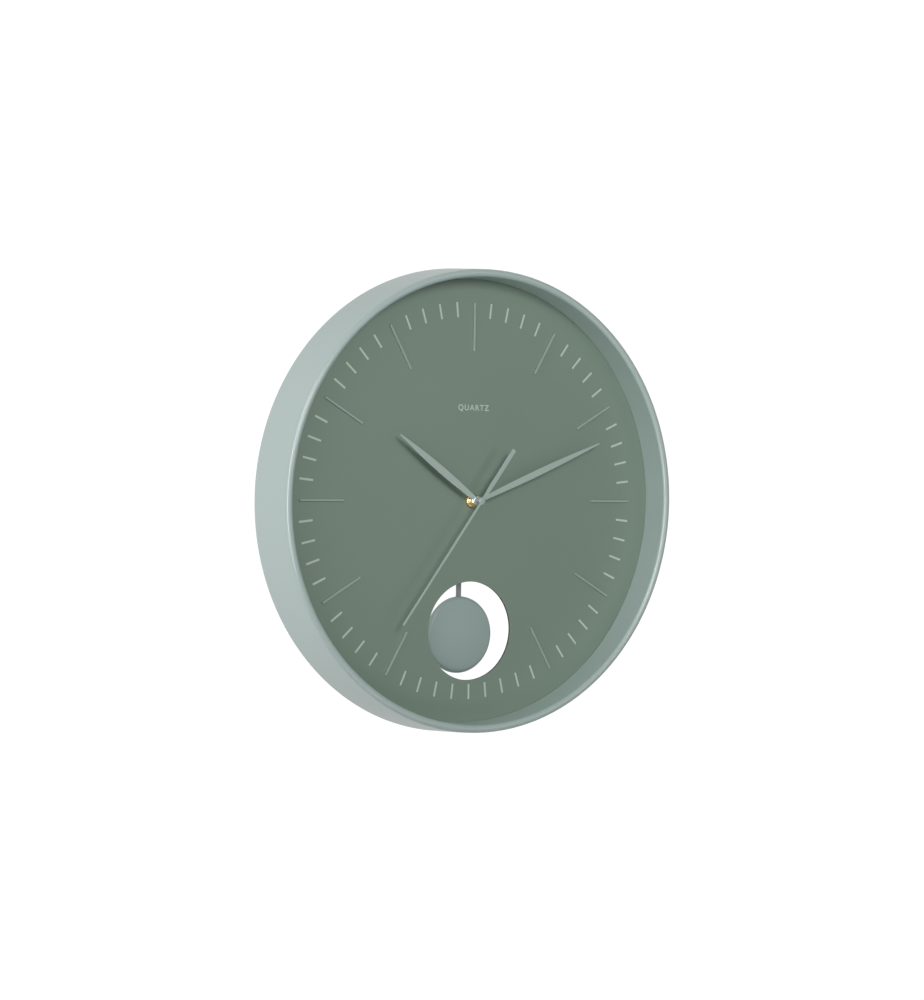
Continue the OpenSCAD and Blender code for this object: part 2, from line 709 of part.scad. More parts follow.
// Half-width of a leaf-shaped hand at a fraction t of its length
function leaf(t, root_w, mid_w, tip_w, mid = 0.45) = 0.5 * (t < mid
    ? root_w + (mid_w - root_w) * sin(90 * t / mid)
    : tip_w + (mid_w - tip_w) * cos(90 * (t - mid) / (1 - mid)));
function leaf_points(length, root_w, mid_w, tip_w) = concat(
    [for (i = [0:24]) [leaf(i / 24, root_w, mid_w, tip_w), -length * i / 24]],
    [for (i = [24:-1:0]) [-leaf(i / 24, root_w, mid_w, tip_w), -length * i / 24]]);

module hand_blade(length, root_w, mid_w, tip_w, hub_r, bore) {
    difference() {
        union() {
            cylinder(r = hub_r, h = hand_t);
            linear_extrude(hand_t) polygon(leaf_points(length, root_w, mid_w, tip_w));
        }
        translate([0, 0, -1]) cylinder(r = bore, h = hand_t + 2);
    }
}

module hour_hand() {
    color([0.57, 0.64, 0.60]) at_depth(hour_depth) rotate([0, 0, hour_angle])
        hand_blade(hour_len, 3.6, hour_w, 1.2, 3.9, hour_pipe_r);
}

module hour_hand_collet() {
    color([0.76, 0.76, 0.77]) at_depth(hour_depth + hand_t) tube(3.2, 1, hour_pipe_r);
}

module minute_hand() {
    color([0.57, 0.64, 0.60]) at_depth(minute_depth) rotate([0, 0, minute_angle])
        hand_blade(minute_len, 3, minute_w, 1.2, 3.6, minute_pipe_r);
}

module minute_hand_collet() {
    color([0.76, 0.76, 0.77]) at_depth(minute_depth + hand_t) tube(2.4, 0.5, minute_pipe_r);
}

// Needle with a broad counterweight tail
module second_hand() {
    color([0.57, 0.64, 0.60]) at_depth(second_depth) rotate([0, 0, second_angle]) {
        cylinder(r = 3.3, h = hand_t);
        linear_extrude(hand_t) polygon([[1.1, 0], [0.9, -second_len], [-0.9, -second_len], [-1.1, 0],
            [-2, second_tail * 0.3], [-2, second_tail - 0.6], [-1.4, second_tail], [1.4, second_tail],
            [2, second_tail - 0.6], [2, second_tail * 0.3]]);
    }
}

module second_hand_tube() {
    color([0.76, 0.76, 0.77]) at_depth(second_depth + hand_t) difference() {
        cylinder(r = 2, h = 3);
        translate([0, 0, 0.5]) cylinder(r = arbor_r, h = 4, $fn = 48);
    }
}

// Lever that hangs on the pin, carries the magnet and ends in the stud for the rod
module pendulum_lever() {
    color([0.86, 0.85, 0.80]) difference() {
        union() {
            at_depth(lever_front, [0, 0]) linear_extrude(lever_t) polygon([[-lever_w / 2, -pivot_up],
                [lever_w / 2, -pivot_up], [lever_w / 2, -hook_up + 3], [-lever_w / 2, -hook_up + 3]]);
            at_depth(lever_front, pivot_pos) cylinder(r = lever_w / 2, h = lever_t);
            at_depth(lever_front, [0, magnet_up]) cylinder(r = magnet_r + 1.3, h = lever_t);
            at_depth(rod_front - 0.25, [0, hook_up])
                cylinder(r = hook_r, h = lever_front - rod_front + 0.25 + eps, $fn = 48);
        }
        at_depth(lever_front - 1, pivot_pos) cylinder(r = pin_r + run, h = 5, $fn = 48);
        at_depth(lever_front - 1, [0, magnet_up]) cylinder(r = magnet_r, h = 1.8);
    }
}

module lever_magnet() {
    color([0.45, 0.45, 0.47]) at_depth(lever_front - 0.6, [0, magnet_up])
        cylinder(r = magnet_r, h = 1.4);
}

// Flat strip, with a hole at the top that drops over the lever's stud
module pendulum_rod() {
    color([0.50, 0.53, 0.53]) difference() {
        block([-rod_w / 2, -rod_end_drop], [rod_w / 2, rod_top_up], rod_front, rod_front + rod_t);
        at_depth(rod_front - 1, [0, hook_up]) cylinder(r = hook_r, h = 3, $fn = 48);
        for (side = [-1, 1]) at_depth(rod_front - 1, [0, side * rivet_gap / 2 - bob_drop])
            cylinder(r = 1, h = 3, $fn = 32);
    }
}

// Outline of the bob's front: a slightly crowned face that turns back at its rim, as [radius, depth]
bob_r = bob_d / 2;
rim_turn = 3.6;
crown = bob_t - rim_turn;
function bob_profile(off) = concat(
    [for (i = [0:6]) let (r = (bob_r - rim_turn) * i / 6) [r, off + crown * pow(i / 6, 2)]],
    [for (a = [15:15:90]) [bob_r - rim_turn + (rim_turn - off) * sin(a),
        crown + rim_turn - (rim_turn - off) * cos(a)]]);

module bob_shell() {
    inner = bob_profile(bob_wall);
    color([0.51, 0.58, 0.56]) at_depth(bob_rim - bob_t, [0, -bob_drop]) rotate_extrude()
        polygon(concat(bob_profile(0), [for (i = [len(inner) - 1:-1:0]) inner[i]]));
}

module bob_backing() {
    color([0.30, 0.31, 0.31]) at_depth(bob_rim - 1, [0, -bob_drop]) difference() {
        cylinder(r = bob_r - bob_wall - 0.4, h = 1);
        for (side = [-1, 1]) translate([0, side * rivet_gap / 2, -1]) cylinder(r = 1, h = 4, $fn = 32);
    }
}

module bob_rivets() {
    color([0.70, 0.70, 0.71]) for (side = [-1, 1])
        at_depth(bob_rim - 1.5, [0, side * rivet_gap / 2 - bob_drop]) {
            cylinder(r = 1.9, h = 0.5, $fn = 32);
            cylinder(r = 1, h = 1.5 + rod_t + 0.2, $fn = 32);
            translate([0, 0, 1.5 + rod_t]) cylinder(r = 1.9, h = 0.5, $fn = 32);
        }
}

case_shell();
dial_board();
hour_markers();
dial_screws();
hanger_plate();
hanger_screws();
movement_front_case();
movement_rear_cover();
cover_screws();
threaded_bushing();
bushing_nut();
dial_washer();
train_plate();
plate_screws();
stator();
coil_core();
coil_bobbin();
motor_coil();
circuit_board();
control_chip();
quartz_crystal();
battery();
contact_positive();
contact_negative();
drive_coil();
pivot_pin();
pivot_retainer();
seconds_wheel();
second_hand();
second_hand_tube();
third_wheel();
centre_wheel();
minute_hand();
minute_hand_collet();
motion_wheel();
hour_wheel();
hour_hand();
hour_hand_collet();
fifth_wheel();
rotor();
rotor_magnet();
setting_arbor();
setting_knob();
pendulum_lever();
lever_magnet();
pendulum_rod();
bob_shell();
bob_backing();
bob_rivets();
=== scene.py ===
import json
from math import atan2, cos, pi, radians, sin, sqrt, tan

import bmesh
import bpy
from mathutils import Matrix, Vector


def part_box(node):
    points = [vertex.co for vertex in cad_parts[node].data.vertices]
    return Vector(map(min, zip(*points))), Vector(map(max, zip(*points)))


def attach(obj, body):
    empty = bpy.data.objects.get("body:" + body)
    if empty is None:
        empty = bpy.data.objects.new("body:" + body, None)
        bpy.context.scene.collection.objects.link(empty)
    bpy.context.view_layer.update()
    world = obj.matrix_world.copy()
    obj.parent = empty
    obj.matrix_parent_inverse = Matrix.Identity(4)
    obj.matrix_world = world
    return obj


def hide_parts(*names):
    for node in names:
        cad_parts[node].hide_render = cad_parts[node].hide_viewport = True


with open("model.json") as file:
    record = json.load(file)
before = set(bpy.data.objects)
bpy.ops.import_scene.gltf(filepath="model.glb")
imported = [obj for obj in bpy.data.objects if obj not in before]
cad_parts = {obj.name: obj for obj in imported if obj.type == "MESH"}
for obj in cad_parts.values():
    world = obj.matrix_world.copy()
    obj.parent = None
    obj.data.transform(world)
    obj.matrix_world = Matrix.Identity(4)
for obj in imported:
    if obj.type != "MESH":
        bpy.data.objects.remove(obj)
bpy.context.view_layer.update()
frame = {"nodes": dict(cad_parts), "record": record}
NODES = frame["nodes"]
SLOT_OF = {row["node"]: row["material_slot"] for row in frame["record"]["subparts"]}
BODY_OF = {name: body for body, names in frame["record"]["behaviour"]["bodies"].items() for name in names}

# Dial space: millimetres, x to the reader's right, y up, z towards the reader, zero on the hands'
# axis at the front edge of the case. Depths behind the front edge are given as positive numbers.
MM = 0.001
case_low, case_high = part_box("case_shell")
AXIS_Z = (case_low.z + case_high.z) / 2
FRONT_Y = case_low.y
INTO_PLACE = (Matrix.Translation((0, FRONT_Y, AXIS_Z)) @ Matrix.Rotation(radians(90), 4, "X")
              @ Matrix.Scale(MM, 4))


def depths(node):
    """Depth of a node's front and back, in millimetres behind the front edge."""
    low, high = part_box(node)
    return (low.y - FRONT_Y) / MM, (high.y - FRONT_Y) / MM


def middle(node):
    """Middle of a node in dial space, as (x, up)."""
    low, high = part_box(node)
    return (low.x + high.x) / 2 / MM, ((low.z + high.z) / 2 - AXIS_Z) / MM


# Sizes of the case and dial, in millimetres
CASE_DEPTH = (case_high.y - case_low.y) / MM
BACK_R = (case_high.x - case_low.x) / 2 / MM
FRONT_R = 196.7
LIP_T = 6.6
SKIN_T = 2.2
INNER_R = FRONT_R - LIP_T
DIAL_FACE, DIAL_BACK = depths("dial_board")
DIAL_R = (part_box("dial_board")[1].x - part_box("dial_board")[0].x) / 2 / MM
WINDOW_R = 42.3
WINDOW_UP = -111.8
BOSS_RING_R = INNER_R + 3.3
SCREW_COUNT = 8
HANGER_UP = -AXIS_Z / MM

# Time shown, as clock angles
HOUR_ANGLE = 305.1
MINUTE_ANGLE = 68.2
SECOND_ANGLE = 216.7


# ---------------------------------------------------------------- camera and stage

def make_camera():
    data = bpy.data.cameras.new("camera")
    data.sensor_width = 36
    data.lens = 80.98
    data.clip_start, data.clip_end = 0.05, 60
    camera = bpy.data.objects.new("camera", data)
    right = Vector((0.83150312, -0.55530944, 0.01529704))
    up = Vector((-0.00329781, 0.02260165, 0.99973911))
    turn = Matrix((right, up, right.cross(up))).transposed().to_4x4()
    camera.matrix_world = Matrix.Translation((-1.07909, -1.62101, -0.14276)) @ turn
    bpy.context.scene.collection.objects.link(camera)
    bpy.context.scene.camera = camera


def tree_of(owner):
    owner.use_nodes = True
    owner.node_tree.nodes.clear()
    return owner.node_tree


def node(tree, kind, values=None, **settings):
    """A node with its properties set by name and its unlinked inputs by name or number."""
    made = tree.nodes.new(kind)
    for name, value in settings.items():
        setattr(made, name, value)
    for name, value in (values or {}).items():
        if isinstance(value, bpy.types.NodeSocket):
            tree.links.new(value, made.inputs[name])
        else:
            made.inputs[name].default_value = value
    return made


def maths(tree, operation, *values):
    return node(tree, "ShaderNodeMath", dict(enumerate(values)), operation=operation).outputs[0]


def ramp(tree, value, low, high, out_low=0.0, out_high=1.0, kind="SMOOTHSTEP"):
    return node(tree, "ShaderNodeMapRange", {"Value": value, "From Min": low, "From Max": high,
                "To Min": out_low, "To Max": out_high}, interpolation_type=kind).outputs["Result"]


# Light that the room gives from each side, and what shiny surfaces mirror besides
ROOM_LEFT = 0.72
ROOM_BEHIND = 0.5
MIRRORED = 0.24


def make_world():
    """White surroundings to look at, and a studio whose left and far sides light the clock."""
    world = bpy.data.worlds.new("studio")
    bpy.context.scene.world = world
    tree = tree_of(world)
    way = node(tree, "ShaderNodeSeparateXYZ",
               {0: node(tree, "ShaderNodeTexCoord").outputs["Generated"]})
    left = ramp(tree, way.outputs["X"], 0.3, -0.9, 0, ROOM_LEFT)
    behind = ramp(tree, way.outputs["Y"], -0.35, 0.6, 0, ROOM_BEHIND)
    rays = node(tree, "ShaderNodeLightPath").outputs
    mirrored = maths(tree, "MULTIPLY", rays["Is Glossy Ray"], MIRRORED)
    light = maths(tree, "ADD", maths(tree, "ADD", left, behind), mirrored)
    room = node(tree, "ShaderNodeBackground", {"Color": (1, 1, 1, 1), "Strength": light})
    seen = node(tree, "ShaderNodeBackground", {"Color": (1, 1, 1, 1), "Strength": 1.05})
    either = node(tree, "ShaderNodeMixShader", {0: rays["Is Camera Ray"], 1: room.outputs[0],
                  2: seen.outputs[0]})
    node(tree, "ShaderNodeOutputWorld", {"Surface": either.outputs[0]})


def softbox(name, place, width, height, power, all_round=True):
    """Rectangular light that looks at the middle of the dial. One that isn't all round only gives
    highlights."""
    data = bpy.data.lights.new(name, "AREA")
    data.shape, data.size, data.size_y, data.energy = "RECTANGLE", width, height, power
    light = bpy.data.objects.new(name, data)
    light.location = place
    light.visible_diffuse = all_round
    target = Vector((0, FRONT_Y, AXIS_Z))
    light.rotation_euler = (target - light.location).to_track_quat("-Z", "Y").to_euler()
    bpy.context.scene.collection.objects.link(light)


def make_floor():
    """Pale round floor far below the clock, which fades to the white of the room."""
    bm = bmesh.new()
    bmesh.ops.create_circle(bm, cap_ends=True, segments=96, radius=9)
    mesh = bpy.data.meshes.new("floor")
    bm.to_mesh(mesh)
    bm.free()
    mesh.transform(Matrix.Translation((0, 0, -1.45)))
    floor = bpy.data.objects.new("floor", mesh)
    bpy.context.scene.collection.objects.link(floor)
    material = bpy.data.materials.new("floor_paint")
    tree = tree_of(material)
    here = node(tree, "ShaderNodeTexCoord").outputs["Object"]
    flat = node(tree, "ShaderNodeVectorMath", {0: here, 1: (1, 1, 0)}, operation="MULTIPLY").outputs[0]
    far = node(tree, "ShaderNodeVectorMath", {0: flat}, operation="LENGTH").outputs["Value"]
    paint = node(tree, "ShaderNodeBsdfPrincipled", {"Base Color": (0.86, 0.86, 0.86, 1), "Roughness": 0.8})
    white = node(tree, "ShaderNodeEmission", {"Color": (1, 1, 1, 1), "Strength": 1.05})
    blend = node(tree, "ShaderNodeMixShader", {0: ramp(tree, far, 0.7, 2.2), 1: paint.outputs[0],
                 2: white.outputs[0]})
    node(tree, "ShaderNodeOutputMaterial", {"Surface": blend.outputs[0]})
    mesh.materials.append(material)
    floor.visible_diffuse = False
    floor.visible_glossy = False


def make_stage():
    scene = bpy.context.scene
    scene.view_settings.view_transform = "Standard"
    make_world()
    make_floor()
    softbox("front_softbox", (-0.3, -1.3, 0.25), 0.42, 0.42, 7.2)
    softbox("low_softbox", (0.1, -1.6, -1.5), 1.0, 0.5, 4.4)
    softbox("sheen_softbox", (0.95, -1.8, 0.1), 0.6, 1.2, 3.0)
    softbox("edge_strip", (-1.6, -1.1, 0.1), 0.25, 2.4, 48, False)


# ---------------------------------------------------------------- shared surface effects

def shader_group(name, inputs, outputs):
    tree = bpy.data.node_groups.new(name, "ShaderNodeTree")
    for label, kind, value in inputs:
        tree.interface.new_socket(label, in_out="INPUT", socket_type=kind).default_value = value
    for label, kind in outputs:
        tree.interface.new_socket(label, in_out="OUTPUT", socket_type=kind)
    return tree, tree.nodes.new("NodeGroupInput").outputs, tree.nodes.new("NodeGroupOutput").inputs


FLOAT, COLOUR, VECTOR = "NodeSocketFloat", "NodeSocketColor", "NodeSocketVector"


def noise(tree, where, scale, detail=3.0, roughness=0.5):
    return node(tree, "ShaderNodeTexNoise", {"Vector": where, "Scale": scale, "Detail": detail,
                "Roughness": roughness}, noise_dimensions="3D").outputs[0]


def tone_group():
    """Slow drift of a colour across a surface, as in paint that was sprayed by hand."""
    tree, given, out = shader_group("tone_drift", [
        ("Place", VECTOR, (0, 0, 0)), ("Colour", COLOUR, (0.5, 0.5, 0.5, 1)),
        ("Amount", FLOAT, 0.04), ("Scale", FLOAT, 12.0)], [("Colour", COLOUR)])
    wide = noise(tree, given["Place"], given["Scale"], 2)
    fine = noise(tree, given["Place"], maths(tree, "MULTIPLY", given["Scale"], 30.0), 2)
    both = maths(tree, "ADD", maths(tree, "MULTIPLY", wide, 0.7), maths(tree, "MULTIPLY", fine, 0.3))
    swing = maths(tree, "MULTIPLY", maths(tree, "SUBTRACT", both, 0.5), 2.0)
    gain = maths(tree, "ADD", 1.0, maths(tree, "MULTIPLY", swing, given["Amount"]))
    scaled = node(tree, "ShaderNodeVectorMath", {0: given["Colour"], 1: gain}, operation="MULTIPLY")
    tree.links.new(scaled.outputs[0], out["Colour"])
    return tree


def spray_group():
    """Orange peel of a sprayed lacquer, with a fine tooth on top."""
    tree, given, out = shader_group("spray_skin", [
        ("Place", VECTOR, (0, 0, 0)), ("Scale", FLOAT, 600.0), ("Tooth", FLOAT, 0.3),
        ("Roughness", FLOAT, 0.4)], [("Height", FLOAT), ("Roughness", FLOAT)])
    peel = noise(tree, given["Place"], given["Scale"], 1.5)
    tooth = noise(tree, given["Place"], maths(tree, "MULTIPLY", given["Scale"], 6.0), 2)
    height = maths(tree, "ADD", peel, maths(tree, "MULTIPLY", tooth, given["Tooth"]))
    smear = noise(tree, given["Place"], 25.0, 4, 0.6)
    rough = maths(tree, "ADD", given["Roughness"],
                  maths(tree, "MULTIPLY", maths(tree, "SUBTRACT", smear, 0.5), 0.12))
    tree.links.new(height, out["Height"])
    tree.links.new(rough, out["Roughness"])
    return tree


def turned_group():
    """Fine concentric lines left by a lathe, round the line x = z = 0 of the place given."""
    tree, given, out = shader_group("turned_lines", [
        ("Place", VECTOR, (0, 0, 0)), ("Pitch", FLOAT, 0.0002), ("Roughness", FLOAT, 0.2)],
        [("Height", FLOAT), ("Roughness", FLOAT)])
    flat = node(tree, "ShaderNodeVectorMath", {0: given["Place"], 1: (1, 0, 1)}, operation="MULTIPLY")
    radius = node(tree, "ShaderNodeVectorMath", {0: flat.outputs[0]}, operation="LENGTH").outputs["Value"]
    along = node(tree, "ShaderNodeSeparateXYZ", {0: given["Place"]}).outputs["Y"]
    step = maths(tree, "DIVIDE", maths(tree, "ADD", radius, along), given["Pitch"])
    line = node(tree, "ShaderNodeTexNoise", {"W": step, "Scale": 1.0, "Detail": 3.0},
                noise_dimensions="1D").outputs[0]
    rough = maths(tree, "ADD", given["Roughness"],
                  maths(tree, "MULTIPLY", maths(tree, "SUBTRACT", line, 0.5), 0.2))
    tree.links.new(line, out["Height"])
    tree.links.new(rough, out["Roughness"])
    return tree


def rolled_group():
    """Long fine streaks of rolled or drawn metal, along z of the place given."""
    tree, given, out = shader_group("rolled_streaks", [
        ("Place", VECTOR, (0, 0, 0)), ("Scale", FLOAT, 900.0), ("Roughness", FLOAT, 0.3)],
        [("Height", FLOAT), ("Roughness", FLOAT)])
    drawn = node(tree, "ShaderNodeMapping", {"Vector": given["Place"], "Scale": (1, 1, 0.03)}).outputs[0]
    streak = noise(tree, drawn, given["Scale"], 4, 0.6)
    blotch = noise(tree, given["Place"], 60.0, 3)
    rough = maths(tree, "ADD", given["Roughness"], maths(tree, "ADD",
                  maths(tree, "MULTIPLY", maths(tree, "SUBTRACT", streak, 0.5), 0.25),
                  maths(tree, "MULTIPLY", maths(tree, "SUBTRACT", blotch, 0.5), 0.15)))
    tree.links.new(streak, out["Height"])
    tree.links.new(rough, out["Roughness"])
    return tree


def moulded_group():
    """Spark-eroded grain of a moulding, with faint rubbed patches."""
    tree, given, out = shader_group("moulded_grain", [
        ("Place", VECTOR, (0, 0, 0)), ("Scale", FLOAT, 2500.0), ("Roughness", FLOAT, 0.5)],
        [("Height", FLOAT), ("Roughness", FLOAT)])
    cell = node(tree, "ShaderNodeTexVoronoi", {"Vector": given["Place"], "Scale": given["Scale"]},
                feature="SMOOTH_F1").outputs["Distance"]
    rubbed = ramp(tree, noise(tree, given["Place"], 35.0, 4, 0.6), 0.45, 0.75)
    rough = maths(tree, "SUBTRACT", given["Roughness"], maths(tree, "MULTIPLY", rubbed, 0.12))
    tree.links.new(cell, out["Height"])
    tree.links.new(rough, out["Roughness"])
    return tree


GROUPS = {"tone": tone_group(), "spray": spray_group(), "turned": turned_group(),
          "rolled": rolled_group(), "moulded": moulded_group()}


def linear(red, green, blue):
    """A display colour, 0 to 255, as the shader's linear colour."""
    def one(level):
        share = level / 255
        return share / 12.92 if share <= 0.04045 else ((share + 0.055) / 1.055) ** 2.4
    return one(red), one(green), one(blue), 1


def material(name, colour, effect, scale, roughness, bump, tone=0.03, tone_scale=12.0, metallic=0.0,
             coat=0.0, coat_roughness=0.2, specular=0.5, centre=(0, 0, 0), tooth=None):
    """A principled surface whose colour drifts a little and whose skin comes from one shared effect."""
    made = bpy.data.materials.new(name)
    tree = tree_of(made)
    here = node(tree, "ShaderNodeTexCoord").outputs["Object"]
    place = node(tree, "ShaderNodeMapping", {"Vector": here, "Location": [-c for c in centre]}).outputs[0]
    drift = node(tree, "ShaderNodeGroup", node_tree=GROUPS["tone"])
    skin = node(tree, "ShaderNodeGroup", node_tree=GROUPS[effect])
    for group in (drift, skin):
        tree.links.new(place, group.inputs["Place"])
    drift.inputs["Colour"].default_value = colour
    drift.inputs["Amount"].default_value = tone
    drift.inputs["Scale"].default_value = tone_scale
    skin.inputs["Pitch" if effect == "turned" else "Scale"].default_value = scale
    skin.inputs["Roughness"].default_value = roughness
    if tooth is not None:
        skin.inputs["Tooth"].default_value = tooth
    relief = node(tree, "ShaderNodeBump", {"Height": skin.outputs["Height"], "Strength": 1.0,
                  "Distance": bump * MM})
    surface = node(tree, "ShaderNodeBsdfPrincipled", {
        "Base Color": drift.outputs["Colour"], "Roughness": skin.outputs["Roughness"],
        "Normal": relief.outputs[0], "Metallic": metallic, "Coat Weight": coat,
        "Coat Roughness": coat_roughness, "Specular IOR Level": specular})
    node(tree, "ShaderNodeOutputMaterial", {"Surface": surface.outputs[0]})
    return made


HUB = (0, FRONT_Y, AXIS_Z)
M = {
    "case_plastic": material("case_lacquer", linear(178, 196, 192), "spray", 700, 0.42, 0.012,
                             tone=0.015, tone_scale=6, coat=0.45, coat_roughness=0.2),
    "dial_paint": material("dial_print", linear(127, 146, 132), "spray", 1800, 0.48, 0.010,
                           tone=0.02, tone_scale=9, tooth=0.8),
    "marker_paint": material("bar_paint", linear(160, 176, 168), "spray", 1500, 0.45, 0.008, tone=0.02),
    "tick_ink": material("tick_ink", linear(196, 212, 198), "spray", 2500, 0.6, 0.004, tone=0.03,
                         tone_scale=200),
    "hand_paint": material("hand_paint", linear(172, 190, 182), "spray", 1600, 0.40, 0.008, tone=0.02,
                           tone_scale=40),
    "bob_paint": material("bob_paint", linear(160, 180, 175), "spray", 1000, 0.42, 0.010, tone=0.02,
                          coat=0.1, coat_roughness=0.3),
    "brass": material("polished_brass", linear(222, 196, 142), "turned", 0.00012, 0.27, 0.0003,
                      tone=0.06, tone_scale=250, metallic=1, centre=HUB),
    "bright_metal": material("turned_metal", linear(232, 234, 236), "turned", 0.0001, 0.28, 0.0008,
                             tone=0.05, tone_scale=200, metallic=0.3, centre=HUB),
    "zinc_steel": material("zinc_plate", linear(186, 188, 190), "rolled", 1500, 0.34, 0.004,
                           tone=0.08, tone_scale=90, metallic=1),
    "rod_steel": material("rolled_strip", linear(146, 150, 150), "rolled", 1200, 0.38, 0.004,
                          tone=0.06, tone_scale=60, metallic=0.85),
    "black_plastic": material("black_moulding", linear(46, 47, 49), "moulded", 1600, 0.50, 0.02,
                              tone=0.06, tone_scale=30),
    "knob_plastic": material("knob_moulding", linear(58, 59, 61), "moulded", 2200, 0.42, 0.012, tone=0.05),
    "acetal": material("natural_acetal", linear(232, 228, 212), "moulded", 3000, 0.38, 0.006, tone=0.03),
    "lever_plastic": material("lever_moulding", linear(228, 225, 214), "moulded", 2200, 0.30, 0.008,
                              tone=0.03, coat=0.2),
    "coil_wire": material("copper_winding", linear(196, 112, 66), "rolled", 3000, 0.30, 0.004,
                          tone=0.12, tone_scale=150, metallic=0.9, coat=0.4),
    "soft_iron": material("stamped_iron", linear(150, 151, 153), "rolled", 1800, 0.42, 0.006,
                          tone=0.10, tone_scale=120, metallic=1),
    "magnet": material("ferrite", linear(76, 77, 80), "moulded", 3500, 0.55, 0.010, tone=0.10,
                       tone_scale=200, metallic=0.3),
    "rubber": material("black_rubber", linear(34, 34, 34), "moulded", 2000, 0.75, 0.012, tone=0.08),
    "board": material("solder_mask", linear(38, 92, 56), "spray", 3000, 0.28, 0.006, tone=0.08,
                      tone_scale=120, coat=0.5),
    "resin": material("chip_resin", linear(24, 24, 25), "spray", 1200, 0.22, 0.02, tone=0.1, coat=0.5),
    "crystal_can": material("drawn_can", linear(205, 206, 208), "rolled", 2500, 0.22, 0.003, tone=0.05,
                            metallic=1),
    "battery_jacket": material("battery_sleeve", linear(60, 66, 72), "spray", 500, 0.25, 0.006,
                               tone=0.04, coat=0.6, coat_roughness=0.1),
    "battery_band": material("battery_sleeve_band", linear(178, 124, 74), "spray", 500, 0.25, 0.006,
                             tone=0.04, metallic=0.6, coat=0.6, coat_roughness=0.1),
    "spring_steel": material("nickel_spring", linear(205, 203, 196), "rolled", 2200, 0.24, 0.003,
                             tone=0.06, metallic=1),
    "backing_card": material("black_card", linear(66, 67, 68), "moulded", 1200, 0.8, 0.02, tone=0.12,
                             tone_scale=150),
    "cut_edge": material("cut_board_edge", linear(30, 32, 30), "moulded", 2500, 0.75, 0.02, tone=0.15,
                         tone_scale=400),
}


# ---------------------------------------------------------------- making meshes

def closed(bm):
    bmesh.ops.remove_doubles(bm, verts=bm.verts, dist=1e-4)
    bmesh.ops.recalc_face_normals(bm, faces=bm.faces)


def mesh_of(bm, name, into=INTO_PLACE):
    mesh = bpy.data.meshes.new(name)
    bm.to_mesh(mesh)
    bm.free()
    mesh.transform(into)
    return mesh


def object_of(name, mesh):
    made = bpy.data.objects.new(name, mesh)
    bpy.context.scene.collection.objects.link(made)
    return made


def settled(obj):
    """The object with its modifiers worked into its own mesh."""
    graph = bpy.context.evaluated_depsgraph_get()
    graph.update()
    fresh = bpy.data.meshes.new_from_object(obj.evaluated_get(graph))
    old = obj.data
    obj.modifiers.clear()
    obj.data = fresh
    bpy.data.meshes.remove(old)
    fresh.name = obj.name
    return obj


def shade(obj, angle=32):
    """Smooth shading between nearly level faces, led by the large faces; faces square to the wall
    stay flat."""
    mesh = obj.data
    mesh.shade_smooth()
    mesh.set_sharp_from_angle(angle=radians(angle))
    for face in mesh.polygons:
        if abs(face.normal.y) > 0.9999:
            face.use_smooth = False
    normals = obj.modifiers.new("normals", "WEIGHTED_NORMAL")
    normals.keep_sharp, normals.weight = True, 90
    settled(obj)


def piece(obj, body, paint=None, stands_for=(), angle=32):
    """Gives a finished mesh object its paint, when one is named, shades it, parents it to its body's empty
    and hides the CAD nodes that it stands for.
    """
    if paint is not None:
        obj.data.materials.clear()
        obj.data.materials.append(M[paint])
    shade(obj, angle)
    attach(obj, body)
    if stands_for:
        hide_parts(*stands_for)
    return obj


def bevelled(obj, width, segments=2, angle=40):
    """Rounds the sharp edges of a mesh in dial millimetres."""
    edge = obj.modifiers.new("edge", "BEVEL")
    edge.width, edge.segments, edge.limit_method = width * MM, segments, "ANGLE"
    edge.angle_limit = radians(angle)
    edge.use_clamp_overlap = True
    edge.harden_normals = True
    return settled(obj)


def rounded(corners, radius, steps=4):
    """A closed outline whose corners are turned by arcs; a corner may carry its own radius."""
    out = []
    for i, corner in enumerate(corners):
        here = Vector(corner[:2])
        back = Vector(corners[i - 1][:2]) - here
        on = Vector(corners[(i + 1) % len(corners)][:2]) - here
        wanted = corner[2] if len(corner) > 2 else radius
        half = back.angle(on) / 2
        if wanted <= 0 or half > radians(89):
            out.append(here)
            continue
        reach = min(wanted / tan(half), back.length * 0.49, on.length * 0.49)
        arc_r = reach * tan(half)
        centre = here + (back.normalized() + on.normalized()).normalized() * (arc_r / sin(half))
        first = here + back.normalized() * reach - centre
        last = here + on.normalized() * reach - centre
        sweep = atan2(first.x * last.y - first.y * last.x, first.dot(last))
        for k in range(steps + 1):
            out.append(centre + Matrix.Rotation(sweep * k / steps, 2) @ first)
    return [(p.x, p.y) for p in out]


def circle(r, centre=(0, 0), count=96):
    return [(centre[0] + r * cos(2 * pi * i / count), centre[1] + r * sin(2 * pi * i / count))
            for i in range(count)]


def lathe(name, outline, centre=(0, 0), count=96, ring=False, into=INTO_PLACE):
    """Turns an outline of (radius, depth) round an axis that points at the reader."""
    bm = bmesh.new()
    rows = []
    for j in range(count):
        a = 2 * pi * j / count
        rows.append([bm.verts.new((centre[0] + r * cos(a), centre[1] + r * sin(a), -d))
                     for r, d in outline])
    steps = len(outline) if ring else len(outline) - 1
    for j in range(count):
        one, other = rows[j], rows[(j + 1) % count]
        for i in range(steps):
            k = (i + 1) % len(outline)
            bm.faces.new((one[i], one[k], other[k], other[i]))
    bmesh.ops.remove_doubles(bm, verts=bm.verts, dist=1e-5)
    bmesh.ops.dissolve_degenerate(bm, dist=1e-6, edges=bm.edges)
    bmesh.ops.recalc_face_normals(bm, faces=bm.faces)
    return object_of(name, mesh_of(bm, name, into))


